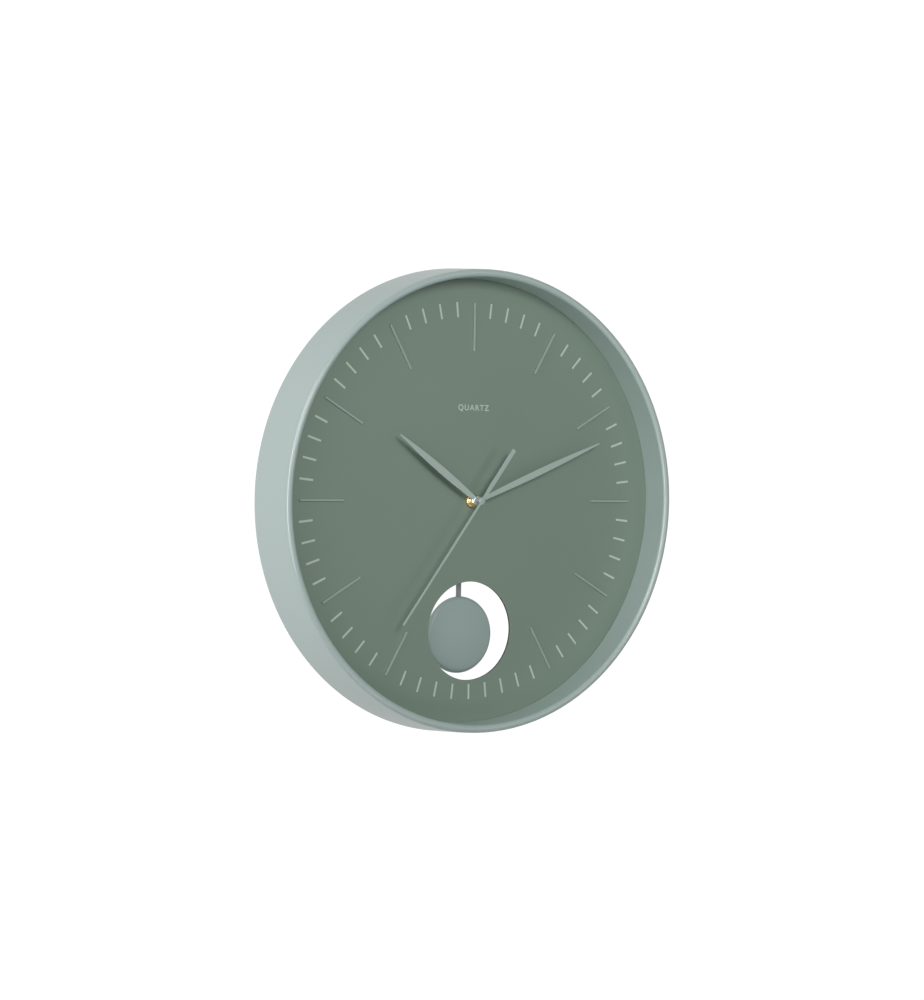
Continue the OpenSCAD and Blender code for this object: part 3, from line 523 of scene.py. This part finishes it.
def plate(name, outlines, front, back, edge=0.15, edge_steps=2, turn=0.0):
    """A flat piece between two depths, from closed outlines of (x, up); inner outlines are holes."""
    curve = bpy.data.curves.new(name, "CURVE")
    curve.dimensions, curve.fill_mode = "2D", "BOTH"
    curve.extrude = (back - front) / 2 - edge
    curve.bevel_depth, curve.bevel_resolution, curve.offset = edge, edge_steps, -edge
    for outline in outlines:
        spline = curve.splines.new("POLY")
        spline.points.add(len(outline) - 1)
        for point, (x, y) in zip(spline.points, outline):
            point.co = (x, y, 0, 1)
        spline.use_cyclic_u = True
    drawn = bpy.data.objects.new(name, curve)
    bpy.context.scene.collection.objects.link(drawn)
    mesh = bpy.data.meshes.new_from_object(drawn.evaluated_get(bpy.context.evaluated_depsgraph_get()))
    bpy.data.objects.remove(drawn)
    bpy.data.curves.remove(curve)
    bm = bmesh.new()
    bm.from_mesh(mesh)
    bpy.data.meshes.remove(mesh)
    closed(bm)
    place = (INTO_PLACE @ Matrix.Translation((0, 0, -(front + back) / 2))
             @ Matrix.Rotation(radians(-turn), 4, "Z"))
    return object_of(name, mesh_of(bm, name, place))


def box_piece(name, low, high, front, back, edge=0.2):
    """A block between two corners (x, up) and two depths, with rounded edges."""
    bm = bmesh.new()
    size = (high[0] - low[0], high[1] - low[1], back - front)
    bmesh.ops.create_cube(bm, size=1, matrix=Matrix.Translation(
        ((low[0] + high[0]) / 2, (low[1] + high[1]) / 2, -(front + back) / 2)) @ Matrix.Diagonal((*size, 1)))
    return bevelled(object_of(name, mesh_of(bm, name)), edge)


def joined(name, objects):
    """Several meshes as one object; their materials come along."""
    bm = bmesh.new()
    paints = []
    for obj in objects:
        start = len(bm.faces)
        bm.from_mesh(obj.data)
        bm.faces.ensure_lookup_table()
        numbers = []
        for paint in obj.data.materials:
            if paint not in paints:
                paints.append(paint)
            numbers.append(paints.index(paint))
        for face in bm.faces[start:]:
            face.material_index = numbers[min(face.material_index, len(numbers) - 1)] if numbers else 0
        bpy.data.objects.remove(obj)
    mesh = mesh_of(bm, name, Matrix.Identity(4))
    for paint in paints:
        mesh.materials.append(paint)
    return object_of(name, mesh)


def softened(node_name, width, segments=2):
    """A merged copy of a CAD node with small rounded edges."""
    bm = bmesh.new()
    bm.from_mesh(NODES[node_name].data)
    bmesh.ops.remove_doubles(bm, verts=bm.verts, dist=2e-7)
    bmesh.ops.dissolve_limit(bm, angle_limit=radians(1), verts=bm.verts, edges=bm.edges)
    bmesh.ops.recalc_face_normals(bm, faces=bm.faces)
    mesh = mesh_of(bm, node_name + "_rounded", NODES[node_name].matrix_world)
    return bevelled(object_of(node_name + "_rounded", mesh), width, segments)


# ---------------------------------------------------------------- geometry node trees

def geometry_tree(name, inputs):
    tree = bpy.data.node_groups.new(name, "GeometryNodeTree")
    for label, kind, value in inputs:
        socket = tree.interface.new_socket(label, in_out="INPUT", socket_type=kind)
        if value is not None:
            socket.default_value = value
    tree.interface.new_socket("Geometry", in_out="OUTPUT", socket_type="NodeSocketGeometry")
    return tree, tree.nodes.new("NodeGroupInput").outputs, tree.nodes.new("NodeGroupOutput").inputs


INTEGER, OBJECT, MATERIAL = "NodeSocketInt", "NodeSocketObject", "NodeSocketMaterial"


def marks_tree():
    """Copies of one mark round the hands' axis. Every so many places one is left out, counted from
    a phase, and at one place the rule is turned round."""
    tree, given, out = geometry_tree("marks_round_the_axis", [
        ("Mark", OBJECT, None), ("Count", INTEGER, 12), ("Ring Radius", FLOAT, 100.0),
        ("First Angle", FLOAT, 0.0), ("Left Out Every", INTEGER, 1000), ("Phase", INTEGER, 999),
        ("Exception", INTEGER, 999), ("Finish", MATERIAL, None)])
    number = node(tree, "GeometryNodeInputIndex").outputs[0]
    step = maths(tree, "DIVIDE", 2 * pi, given["Count"])
    angle = maths(tree, "ADD", maths(tree, "MULTIPLY", number, step), given["First Angle"])
    x = maths(tree, "MULTIPLY", maths(tree, "SINE", angle), given["Ring Radius"])
    y = maths(tree, "MULTIPLY", maths(tree, "COSINE", angle), given["Ring Radius"])
    spot = node(tree, "ShaderNodeCombineXYZ", {"X": x, "Y": y}).outputs[0]
    points = node(tree, "GeometryNodePoints", {"Count": given["Count"], "Position": spot}).outputs[0]
    left_over = node(tree, "FunctionNodeIntegerMath", {0: number, 1: given["Left Out Every"]},
                     operation="MODULO").outputs[0]
    by_rule = node(tree, "FunctionNodeCompare", {"A": left_over, "B": given["Phase"]},
                   data_type="INT", operation="EQUAL")
    odd = node(tree, "FunctionNodeCompare", data_type="INT", operation="EQUAL")
    tree.links.new(number, odd.inputs[2])
    tree.links.new(given["Exception"], odd.inputs[3])
    tree.links.new(left_over, by_rule.inputs[2])
    tree.links.new(given["Phase"], by_rule.inputs[3])
    gone = node(tree, "FunctionNodeBooleanMath", {0: by_rule.outputs[0], 1: odd.outputs[0]},
                operation="XOR").outputs[0]
    turn = node(tree, "ShaderNodeCombineXYZ", {"Z": maths(tree, "MULTIPLY", angle, -1.0)}).outputs[0]
    mark = node(tree, "GeometryNodeObjectInfo", {"Object": given["Mark"]}).outputs["Geometry"]
    copies = node(tree, "GeometryNodeInstanceOnPoints", {"Points": points, "Instance": mark,
                  "Rotation": turn, "Selection": node(tree, "FunctionNodeBooleanMath", {0: gone},
                  operation="NOT").outputs[0]}).outputs[0]
    real = node(tree, "GeometryNodeRealizeInstances", {0: copies}).outputs[0]
    painted = node(tree, "GeometryNodeSetMaterial", {"Geometry": real, "Material": given["Finish"]})
    tree.links.new(painted.outputs[0], out["Geometry"])
    return tree


def winding_tree():
    """Round wire wound in a helix, such as a spring, a coil's layer or a thread."""
    tree, given, out = geometry_tree("wound_wire", [
        ("Turns", FLOAT, 5.0), ("Start Radius", FLOAT, 4.0), ("End Radius", FLOAT, 4.0),
        ("Height", FLOAT, 5.0), ("Wire Radius", FLOAT, 0.3), ("Steps", INTEGER, 40),
        ("Sides", INTEGER, 8), ("Finish", MATERIAL, None)])
    path = node(tree, "GeometryNodeCurveSpiral", {"Resolution": given["Steps"], "Rotations": given["Turns"],
                "Start Radius": given["Start Radius"], "End Radius": given["End Radius"],
                "Height": given["Height"]}).outputs[0]
    section = node(tree, "GeometryNodeCurvePrimitiveCircle", {"Resolution": given["Sides"],
                   "Radius": given["Wire Radius"]}, mode="RADIUS").outputs[0]
    wire = node(tree, "GeometryNodeCurveToMesh", {"Curve": path, "Profile Curve": section,
                "Fill Caps": True}).outputs[0]
    real = node(tree, "GeometryNodeRealizeInstances", {0: wire}).outputs[0]
    smooth = node(tree, "GeometryNodeSetShadeSmooth", {0: real}).outputs[0]
    painted = node(tree, "GeometryNodeSetMaterial", {"Geometry": smooth, "Material": given["Finish"]})
    tree.links.new(painted.outputs[0], out["Geometry"])
    return tree


TREES = {"marks": marks_tree(), "wire": winding_tree()}


def grown(name, tree_name, values, into):
    """A mesh made by one of the trees, with its inputs given by name, then put in place."""
    tree = TREES[tree_name]
    seed = object_of(name, bpy.data.meshes.new(name + "_seed"))
    growth = seed.modifiers.new("growth", "NODES")
    growth.node_group = tree
    for item in tree.interface.items_tree:
        if item.in_out == "INPUT" and item.name in values:
            growth[item.identifier] = values[item.name]
    settled(seed)
    seed.data.transform(into)
    return seed


def raw_copy(obj, depth=0.0):
    """A mark for the trees: the object's mesh taken back to dial millimetres."""
    obj.data.transform((INTO_PLACE @ Matrix.Translation((0, 0, -depth))).inverted())
    obj.hide_render = True
    return obj


def round_the_axis(name, mark, depth, paint, count, ring_r=0.0, first=0.0, **rule):
    values = {"Mark": mark, "Count": count, "Ring Radius": float(ring_r), "First Angle": radians(first),
              "Finish": M[paint]}
    values.update({key.replace("_", " ").title(): value for key, value in rule.items()})
    made = grown(name, "marks", values, INTO_PLACE @ Matrix.Translation((0, 0, -depth)))
    bpy.data.objects.remove(mark)
    return made


# ---------------------------------------------------------------- case

def case_outline():
    """Section of the ring as (radius, depth): tapered outer skin, rolled lip, straight inner skin,
    and the open channel between the two skins."""
    roll = LIP_T / 2
    arc = [(FRONT_R - roll + roll * cos(pi * k / 24), roll - roll * sin(pi * k / 24)) for k in range(25)]
    lean = (BACK_R - FRONT_R) * roll / CASE_DEPTH
    foot = rounded([(BACK_R - SKIN_T, CASE_DEPTH), (BACK_R, CASE_DEPTH, 0.7),
                    (FRONT_R + lean * 4, LIP_T * 2, 0)], 0.5)[:10]
    inside = [(INNER_R, DIAL_FACE * 0.5), (INNER_R, DIAL_FACE - 0.4), (INNER_R + 0.4, DIAL_FACE),
              (INNER_R + SKIN_T, DIAL_FACE), (INNER_R + SKIN_T, LIP_T + 1), (INNER_R + SKIN_T + 0.6, LIP_T),
              (FRONT_R - SKIN_T + lean - 0.6, LIP_T), (FRONT_R - SKIN_T + lean, LIP_T + 1)]
    return foot + [(FRONT_R + lean * 4, LIP_T * 2)] + arc + inside


def make_case():
    ring = lathe("case_ring", case_outline(), count=288, ring=True)
    piece(ring, "frame", "case_plastic", ["case_shell"])

    boss_depth = 8
    boss = lathe("boss", rounded([(1.3, boss_depth), (3.2, boss_depth), (3.2, 0), (1.3, 0)], 0.3), ring=True,
                 count=32)
    bosses = round_the_axis("screw_bosses", raw_copy(boss), DIAL_FACE - boss_depth, "case_plastic",
                            SCREW_COUNT, BOSS_RING_R, 360 / SCREW_COUNT / 2)
    piece(bosses, "frame", "case_plastic", ["case_shell"])

    shelf_half, shelf_front, shelf_t, plate_t = 30, DIAL_BACK + 1.2, 3, 1.2
    low = HANGER_UP - 14
    side = atan2(shelf_half, sqrt((BACK_R - 2) ** 2 - shelf_half ** 2))
    arc = [((BACK_R - 2) * sin(side * k / 12), (BACK_R - 2) * cos(side * k / 12)) for k in range(12, -13, -1)]
    outline = rounded([(-shelf_half, low, 3), (shelf_half, low, 3)] + [(x, y, 0) for x, y in arc], 0)
    shelf = plate("shelf", [outline], shelf_front, shelf_front + shelf_t, 0.4)
    parts = [shelf]
    for sign in (-1, 1):
        x = sign * 22
        outline = rounded([(1.3, shelf_front), (5, shelf_front), (5, CASE_DEPTH - plate_t, 0.4),
                           (1.3, CASE_DEPTH - plate_t)], 0)
        parts.append(lathe("post", outline, (x, HANGER_UP), 48, True))
        parts.append(box_piece("rib", (x - 1, HANGER_UP + 4), (x + 1, BACK_R - 3.6), shelf_front + 1,
                               CASE_DEPTH - 5, 0.4))
    piece(joined("hanger_shelf", parts), "frame", "case_plastic", ["case_shell"])


# ---------------------------------------------------------------- dial

def make_dial():
    holes = [circle(4.05), circle(WINDOW_R, (0, WINDOW_UP), 180)]
    for i in range(SCREW_COUNT):
        a = 2 * pi * (i + 0.5) / SCREW_COUNT
        holes.append(circle(1.45, (BOSS_RING_R * sin(a), BOSS_RING_R * cos(a)), 24))
    board = plate("dial_panel", [circle(DIAL_R, count=288)] + holes, DIAL_FACE, DIAL_BACK, 0.12)
    board.data.materials.append(M["dial_paint"])
    board.data.materials.append(M["cut_edge"])
    face_y = FRONT_Y + (DIAL_FACE + 0.13) * MM
    for face in board.data.polygons:
        face.material_index = 0 if face.center.y < face_y else 1
    piece(board, "frame", None, ["dial_board"])

    long, wide, proud = 12.9, 1.75, 0.05
    tick = plate("tick", [rounded([(-wide / 2, -long / 2), (wide / 2, -long / 2), (wide / 2, long / 2),
                                   (-wide / 2, long / 2)], 0.15, 2)], 0, proud + 0.01, 0.02, 0)
    ticks = round_the_axis("minute_track", raw_copy(tick), DIAL_FACE - proud, "tick_ink", 60, 163.95,
                           left_out_every=5, phase=0, exception=30)
    piece(ticks, "frame", "tick_ink")

    bar_in, bar_out, bar_w, bar_h = 127.9, 169.6, 1.8, 1.6
    half_long = (bar_out - bar_in) / 2
    bar = box_piece("bar", (-bar_w / 2, -half_long), (bar_w / 2, half_long), 0, bar_h, 0.3)
    bars = round_the_axis("hour_bars", raw_copy(bar), DIAL_FACE - bar_h, "marker_paint", 12,
                          (bar_in + bar_out) / 2, exception=6)
    piece(bars, "frame", "marker_paint", ["hour_markers"])
    make_dial_word()


def text_mesh(name, words, size, spacing, height, weight):
    curve = bpy.data.curves.new(name, "FONT")
    curve.offset = weight
    curve.body, curve.size, curve.space_character = words, size, spacing
    curve.align_x, curve.align_y, curve.extrude = "CENTER", "CENTER", height
    drawn = bpy.data.objects.new(name, curve)
    bpy.context.scene.collection.objects.link(drawn)
    mesh = bpy.data.meshes.new_from_object(drawn.evaluated_get(bpy.context.evaluated_depsgraph_get()))
    bpy.data.objects.remove(drawn)
    return mesh


def make_dial_word():
    """The kind of movement, in small print above the hands."""
    mesh = text_mesh("dial_word", "QUARTZ", 6.9, 1.22, 0.025, 0.13)
    mesh.transform(INTO_PLACE @ Matrix.Translation((0.8, 79.6, -DIAL_FACE + 0.02)))
    piece(object_of("dial_word", mesh), "frame", "tick_ink")


# ---------------------------------------------------------------- hands and hub

def leaf_outline(length, root_w, mid_w, tip_w, hub_r, mid=0.45, steps=28):
    """A leaf-shaped blade that grows out of a round hub and points to twelve."""
    def half(t):
        if t < mid:
            return 0.5 * (root_w + (mid_w - root_w) * sin(pi / 2 * t / mid))
        return 0.5 * (tip_w + (mid_w - tip_w) * cos(pi / 2 * (t - mid) / (1 - mid)))
    side = [(half(k / steps), length * k / steps) for k in range(steps + 1)]
    side = [(w, y) for w, y in side if y > sqrt(hub_r ** 2 - w ** 2 if w < hub_r else 0)]
    open_half = atan2(root_w / 2, hub_r)
    hub = [(hub_r * sin(open_half + (2 * pi - 2 * open_half) * k / 48),
            hub_r * cos(open_half + (2 * pi - 2 * open_half) * k / 48)) for k in range(49)]
    tip = length - tip_w / 2
    blade = [(w, min(y, tip)) for w, y in side]
    nose = [(tip_w / 2 * cos(pi * k / 6), tip + tip_w / 2 * sin(pi * k / 6)) for k in range(1, 6)]
    return blade + nose + [(-w, y) for w, y in reversed(blade)] + hub[::-1]


def make_hands():
    for name, body, length, root_w, mid_w, hub_r, bore, angle in (
            ("hour_hand", "hours", 96.4, 3.6, 6.5, 3.9, 2.6, HOUR_ANGLE),
            ("minute_hand", "minutes", 138, 3.0, 5.7, 3.6, 1.45, MINUTE_ANGLE)):
        front, back = depths(name)
        leaf = leaf_outline(length, root_w, mid_w, 1.2, hub_r)
        hand = plate(name + "_blade", [leaf, circle(bore, count=48)], front, back, 0.12, 2, angle)
        piece(hand, body, "hand_paint", [name])

    front, back = depths("second_hand")
    reach, tail = 130, 55.3
    needle = [(1.1, 0), (2, -tail * 0.3), (2, -tail + 0.6), (1.4, -tail), (-1.4, -tail), (-2, -tail + 0.6),
              (-2, -tail * 0.3), (-1.1, 0), (-0.9, reach - 0.9), (0, reach), (0.9, reach - 0.9)]
    blade = plate("needle", [rounded(needle, 0.3, 3)], front, back, 0.12, 2, SECOND_ANGLE)
    cap_r, cap_top = 3.3, front - 0.8
    dome = [(cap_r * sin(pi / 2 * k / 8), cap_top + 0.9 * (1 - cos(pi / 2 * k / 8))) for k in range(1, 9)]
    cap = lathe("cap", [(0, cap_top)] + dome + [(cap_r, back), (0, back)], count=64)
    piece(joined("second_hand_blade", [blade, cap]), "seconds", "hand_paint", ["second_hand"])


def make_hub():
    nut_front, nut_back = depths("bushing_nut")
    nut_r, bore = 6.05, 4.0
    nut = [(bore, nut_front + 0.2), (bore + 0.2, nut_front)]
    nut += [(nut_r - 1.75 + 1.75 * sin(pi / 2 * k / 12), nut_front + 2.3 * (1 - cos(pi / 2 * k / 12)))
            for k in range(13)]
    nut += [(nut_r, nut_back - 0.3), (nut_r - 0.3, nut_back), (bore, nut_back)]
    piece(lathe("round_nut", nut, count=96, ring=True), "frame", "brass", ["bushing_nut"])

    front, _ = depths("threaded_bushing")
    core_r, bore, move_front = 3.72, 2.5, DIAL_BACK + 0.8
    core = [(bore, front + 0.2), (bore + 0.2, front), (core_r - 0.3, front), (core_r, front + 0.3),
            (core_r, move_front + 1.2), (bore, move_front + 1.2)]
    core = lathe("bushing_core", core, count=72, ring=True)
    pitch = 0.75
    turns = (DIAL_BACK - 0.4 - front - 0.6) / pitch
    thread = grown("bushing_thread", "wire", {"Turns": turns, "Start Radius": core_r - 0.02,
                   "End Radius": core_r - 0.02, "Height": turns * pitch, "Wire Radius": 0.28, "Steps": 64,
                   "Sides": 6, "Finish": M["brass"]},
                   INTO_PLACE @ Matrix.Translation((0, 0, -front - 0.6 - turns * pitch)))
    piece(joined("bushing", [core, thread]), "frame", "brass", ["threaded_bushing"])

    hour_front, _ = depths("hour_hand")
    pipe_front, _ = depths("hour_wheel")
    for name, body, bore in (("hour_hand_collet", "hours", 2.45), ("minute_hand_collet", "minutes", 1.45)):
        front, back = depths(name)
        low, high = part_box(name)
        r = (high.x - low.x) / 2 / MM
        outline = [(bore, front), (r, front, 0.25), (r, back, 0.1), (bore, back)]
        if body == "hours":
            lip = pipe_front + 0.1
            outline = [(bore, lip), (3.85, lip, 0.3), (3.85, hour_front, 0.05), (bore + 0.1, hour_front, 0),
                       (bore + 0.1, front, 0), (r, front, 0.05), (r, back, 0.1), (bore, back)]
        collet = lathe(name + "_ring", rounded(outline, 0.12, 3), count=64, ring=True)
        piece(collet, body, "bright_metal", [name])
    front, back = depths("second_hand_tube")
    tube = rounded([(0.5, front), (2, front, 0.1), (2, back, 0.25), (0.5, back)], 0.1, 3)
    tube = lathe("second_tube", tube, count=48, ring=True)
    piece(tube, "seconds", "bright_metal", ["second_hand_tube"])


# ---------------------------------------------------------------- pendulum

def make_pendulum():
    bob_x, bob_up = middle("bob_shell")
    front, rim = depths("bob_shell")
    low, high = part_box("bob_shell")
    bob_r = (high.x - low.x) / 2 / MM
    wall, turn_r = 0.9, 3.6
    crown = rim - front - turn_r

    def face(off):
        flat = [((bob_r - turn_r) * k / 16, front + off + crown * (k / 16) ** 2) for k in range(17)]
        edge = [(bob_r - turn_r + (turn_r - off) * sin(pi / 2 * k / 10),
                 front + crown + turn_r - (turn_r - off) * cos(pi / 2 * k / 10)) for k in range(1, 11)]
        return flat + edge
    shell = lathe("bob_dome", face(0) + face(wall)[::-1], (bob_x, bob_up), 144)
    piece(shell, "pendulum", "bob_paint", ["bob_shell"])

    front, back = depths("pendulum_rod")
    low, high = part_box("pendulum_rod")
    half = (high.x - low.x) / 2 / MM
    bottom, top = (low.z - AXIS_Z) / MM, (high.z - AXIS_Z) / MM
    outline = rounded([(-half, bottom), (half, bottom), (half, top), (-half, top)], 1.6, 6)
    rod = plate("rod_strip", [outline, circle(1.2, (0, 16), 32)], front, back, 0.1, 1)
    piece(rod, "pendulum", "rod_steel", ["pendulum_rod"])


# ---------------------------------------------------------------- movement and small parts

# Width of the rounded edges of each piece that otherwise keeps its CAD shape, in millimetres
ROUNDED = {
    "hanger_plate": 0.15, "hanger_screws": 0.08, "dial_screws": 0.08, "cover_screws": 0.08,
    "plate_screws": 0.06, "movement_front_case": 0.35, "setting_knob": 0.15, "setting_arbor": 0.06,
    "pendulum_lever": 0.2, "lever_magnet": 0.15, "pivot_pin": 0.12, "pivot_retainer": 0.05,
    "bob_backing": 0.12, "bob_rivets": 0.12, "dial_washer": 0.12, "train_plate": 0.08, "stator": 0.08,
    "coil_core": 0.06, "coil_bobbin": 0.08, "motor_coil": 0.3, "circuit_board": 0.08,
    "control_chip": 0.12, "quartz_crystal": 0.15, "contact_positive": 0.05, "seconds_wheel": 0.04,
    "third_wheel": 0.04, "centre_wheel": 0.04, "motion_wheel": 0.04, "hour_wheel": 0.04,
    "fifth_wheel": 0.04, "rotor": 0.04, "rotor_magnet": 0.1,
}


def make_rounded_copies():
    for name, width in ROUNDED.items():
        piece(softened(name, width), BODY_OF[name], SLOT_OF[name], [name])


def make_rear_cover():
    """Rear cover with the moulded signs for the battery and the setting knob."""
    signs_at = (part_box("pendulum_lever")[0].y - FRONT_Y) / MM - 0.15
    foot, top = signs_at - 0.1, signs_at + 0.12
    parts = [softened("movement_rear_cover", 0.3)]
    for x, up, upright in ((-10.2, 19, True), (-10.2, -26, False)):
        parts.append(box_piece("bar", (x - 1.8, up - 0.3), (x + 1.8, up + 0.3), foot, top, 0.04))
        if upright:
            parts.append(box_piece("bar", (x - 0.3, up - 1.8), (x + 0.3, up + 1.8), foot, top, 0.04))
    knob_x, knob_up = middle("setting_knob")
    for first in (25, 205):
        inner, outer, sweep = 7.1, 7.7, 55
        band = [(r * sin(radians(first + sweep * k / 12)), r * cos(radians(first + sweep * k / 12)))
                for r, ks in ((inner, range(13)), (outer, range(12, -1, -1))) for k in ks]
        end = radians(first + sweep)
        tip = radians(first + sweep + 15)
        head = [(6.5 * sin(end), 6.5 * cos(end)), (8.3 * sin(end), 8.3 * cos(end)),
                (7.4 * sin(tip), 7.4 * cos(tip))]
        for outline in (band, head):
            moved = [(x + knob_x, y + knob_up) for x, y in outline]
            parts.append(plate("arrow", [moved], foot, top, 0.03, 1))
    piece(joined("rear_cover", parts), "frame", "black_plastic", ["movement_rear_cover"])


def make_battery():
    """A round cell in a printed sleeve, with steel ends, its axis upright."""
    x, _ = middle("battery")
    front, back = depths("battery")
    low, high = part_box("battery")
    bottom, top = (low.z - AXIS_Z) / MM, (high.z - AXIS_Z) / MM
    r = (high.x - low.x) / 2 / MM
    flat_end = [(0, bottom + 0.25), (3.2, bottom + 0.25), (3.6, bottom), (r - 1.1, bottom),
                (r - 0.7, bottom + 0.2), (r - 0.6, bottom + 0.5)]
    sleeve = [(r - 0.25, bottom + 0.55), (r, bottom + 0.8), (r, top - 14), (r, top - 3.0),
              (r - 0.25, top - 2.7)]
    button_end = [(r - 0.6, top - 2.6), (r - 0.9, top - 1.8), (r - 1.3, top - 1.6), (3.1, top - 1.5),
                  (2.75, top - 1.3), (2.75, top - 0.25), (2.5, top), (0, top)]
    into = INTO_PLACE @ Matrix.Translation((x, 0, -(front + back) / 2)) @ Matrix.Rotation(radians(90), 4, "X")
    cell = lathe("battery_cell", flat_end + sleeve + button_end, count=72, into=into)
    for paint in ("crystal_can", "battery_jacket", "battery_band"):
        cell.data.materials.append(M[paint])
    for face in cell.data.polygons:
        up = (face.center.z - AXIS_Z) / MM
        covered = bottom + 0.6 < up < top - 2.62
        face.material_index = 0 if not covered else 2 if up > top - 14 else 1
    piece(cell, "frame", None, ["battery"])


def make_drive_coil():
    """Flat coil behind the magnet of the lever: a wound body with its outermost wire on every side."""
    x, up = middle("drive_coil")
    front, back = depths("drive_coil")
    low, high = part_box("drive_coil")
    r, bore, wire, skin = (high.x - low.x) / 2 / MM, 2.8, 0.13, 0.15
    body = [(bore, front + skin), (r - skin, front + skin), (r - skin, back - skin), (bore, back - skin)]
    parts = [lathe("wound_body", rounded(body, 0.1, 2), (x, up), 72, True)]
    tall = back - front - 4 * skin
    for start, end, height, depth in ((bore + 0.2, r - 0.25, 0.0, front + skin),
                                      (bore + 0.2, r - 0.25, 0.0, back - skin),
                                      (r - skin, r - skin, tall, back - 2 * skin)):
        turns = max(end - start, height) / (2 * wire)
        values = {"Turns": turns, "Start Radius": start, "End Radius": end, "Height": height,
                  "Wire Radius": wire, "Steps": 48, "Sides": 6, "Finish": M["coil_wire"]}
        parts.append(grown("layer", "wire", values, INTO_PLACE @ Matrix.Translation((x, up, -depth))))
    piece(joined("drive_coil_wire", parts), "frame", "coil_wire", ["drive_coil"])


def make_cone_spring():
    """Contact plate with the cone spring that presses on the flat end of the battery."""
    low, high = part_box("contact_negative")
    left, right = low.x / MM, high.x / MM
    bottom, top = (low.z - AXIS_Z) / MM, (high.z - AXIS_Z) / MM
    front, _ = depths("contact_negative")
    battery_front, battery_back = depths("battery")
    plate_t, wire = 0.5, 0.3
    parts = [box_piece("contact_plate", (left, bottom), (right, bottom + plate_t), front, front + 9, 0.1)]
    height = top - bottom - plate_t - 2 * wire - 0.05
    values = {"Turns": 2.25, "Start Radius": 4.2, "End Radius": 3.4, "Height": height, "Wire Radius": wire,
              "Steps": 40, "Sides": 12, "Finish": M["spring_steel"]}
    depth = (battery_front + battery_back) / 2
    place = Matrix.Translation(((left + right) / 2, bottom + plate_t + wire, -depth))
    upright = Matrix.Rotation(radians(-90), 4, "X")
    parts.append(grown("cone", "wire", values, INTO_PLACE @ place @ upright))
    piece(joined("cone_spring", parts), "frame", "spring_steel", ["contact_negative"])


# ---------------------------------------------------------------- CAD nodes that keep their shape

def finish_nodes():
    for name, obj in NODES.items():
        if obj.hide_render:
            continue
        paint = M[SLOT_OF[name]]
        if not obj.material_slots:
            obj.data.materials.append(paint)
        for slot in obj.material_slots:
            slot.material = paint


make_camera()
make_stage()
make_case()
make_dial()
make_hands()
make_hub()
make_pendulum()
make_rounded_copies()
make_rear_cover()
make_battery()
make_drive_coil()
make_cone_spring()
finish_nodes()
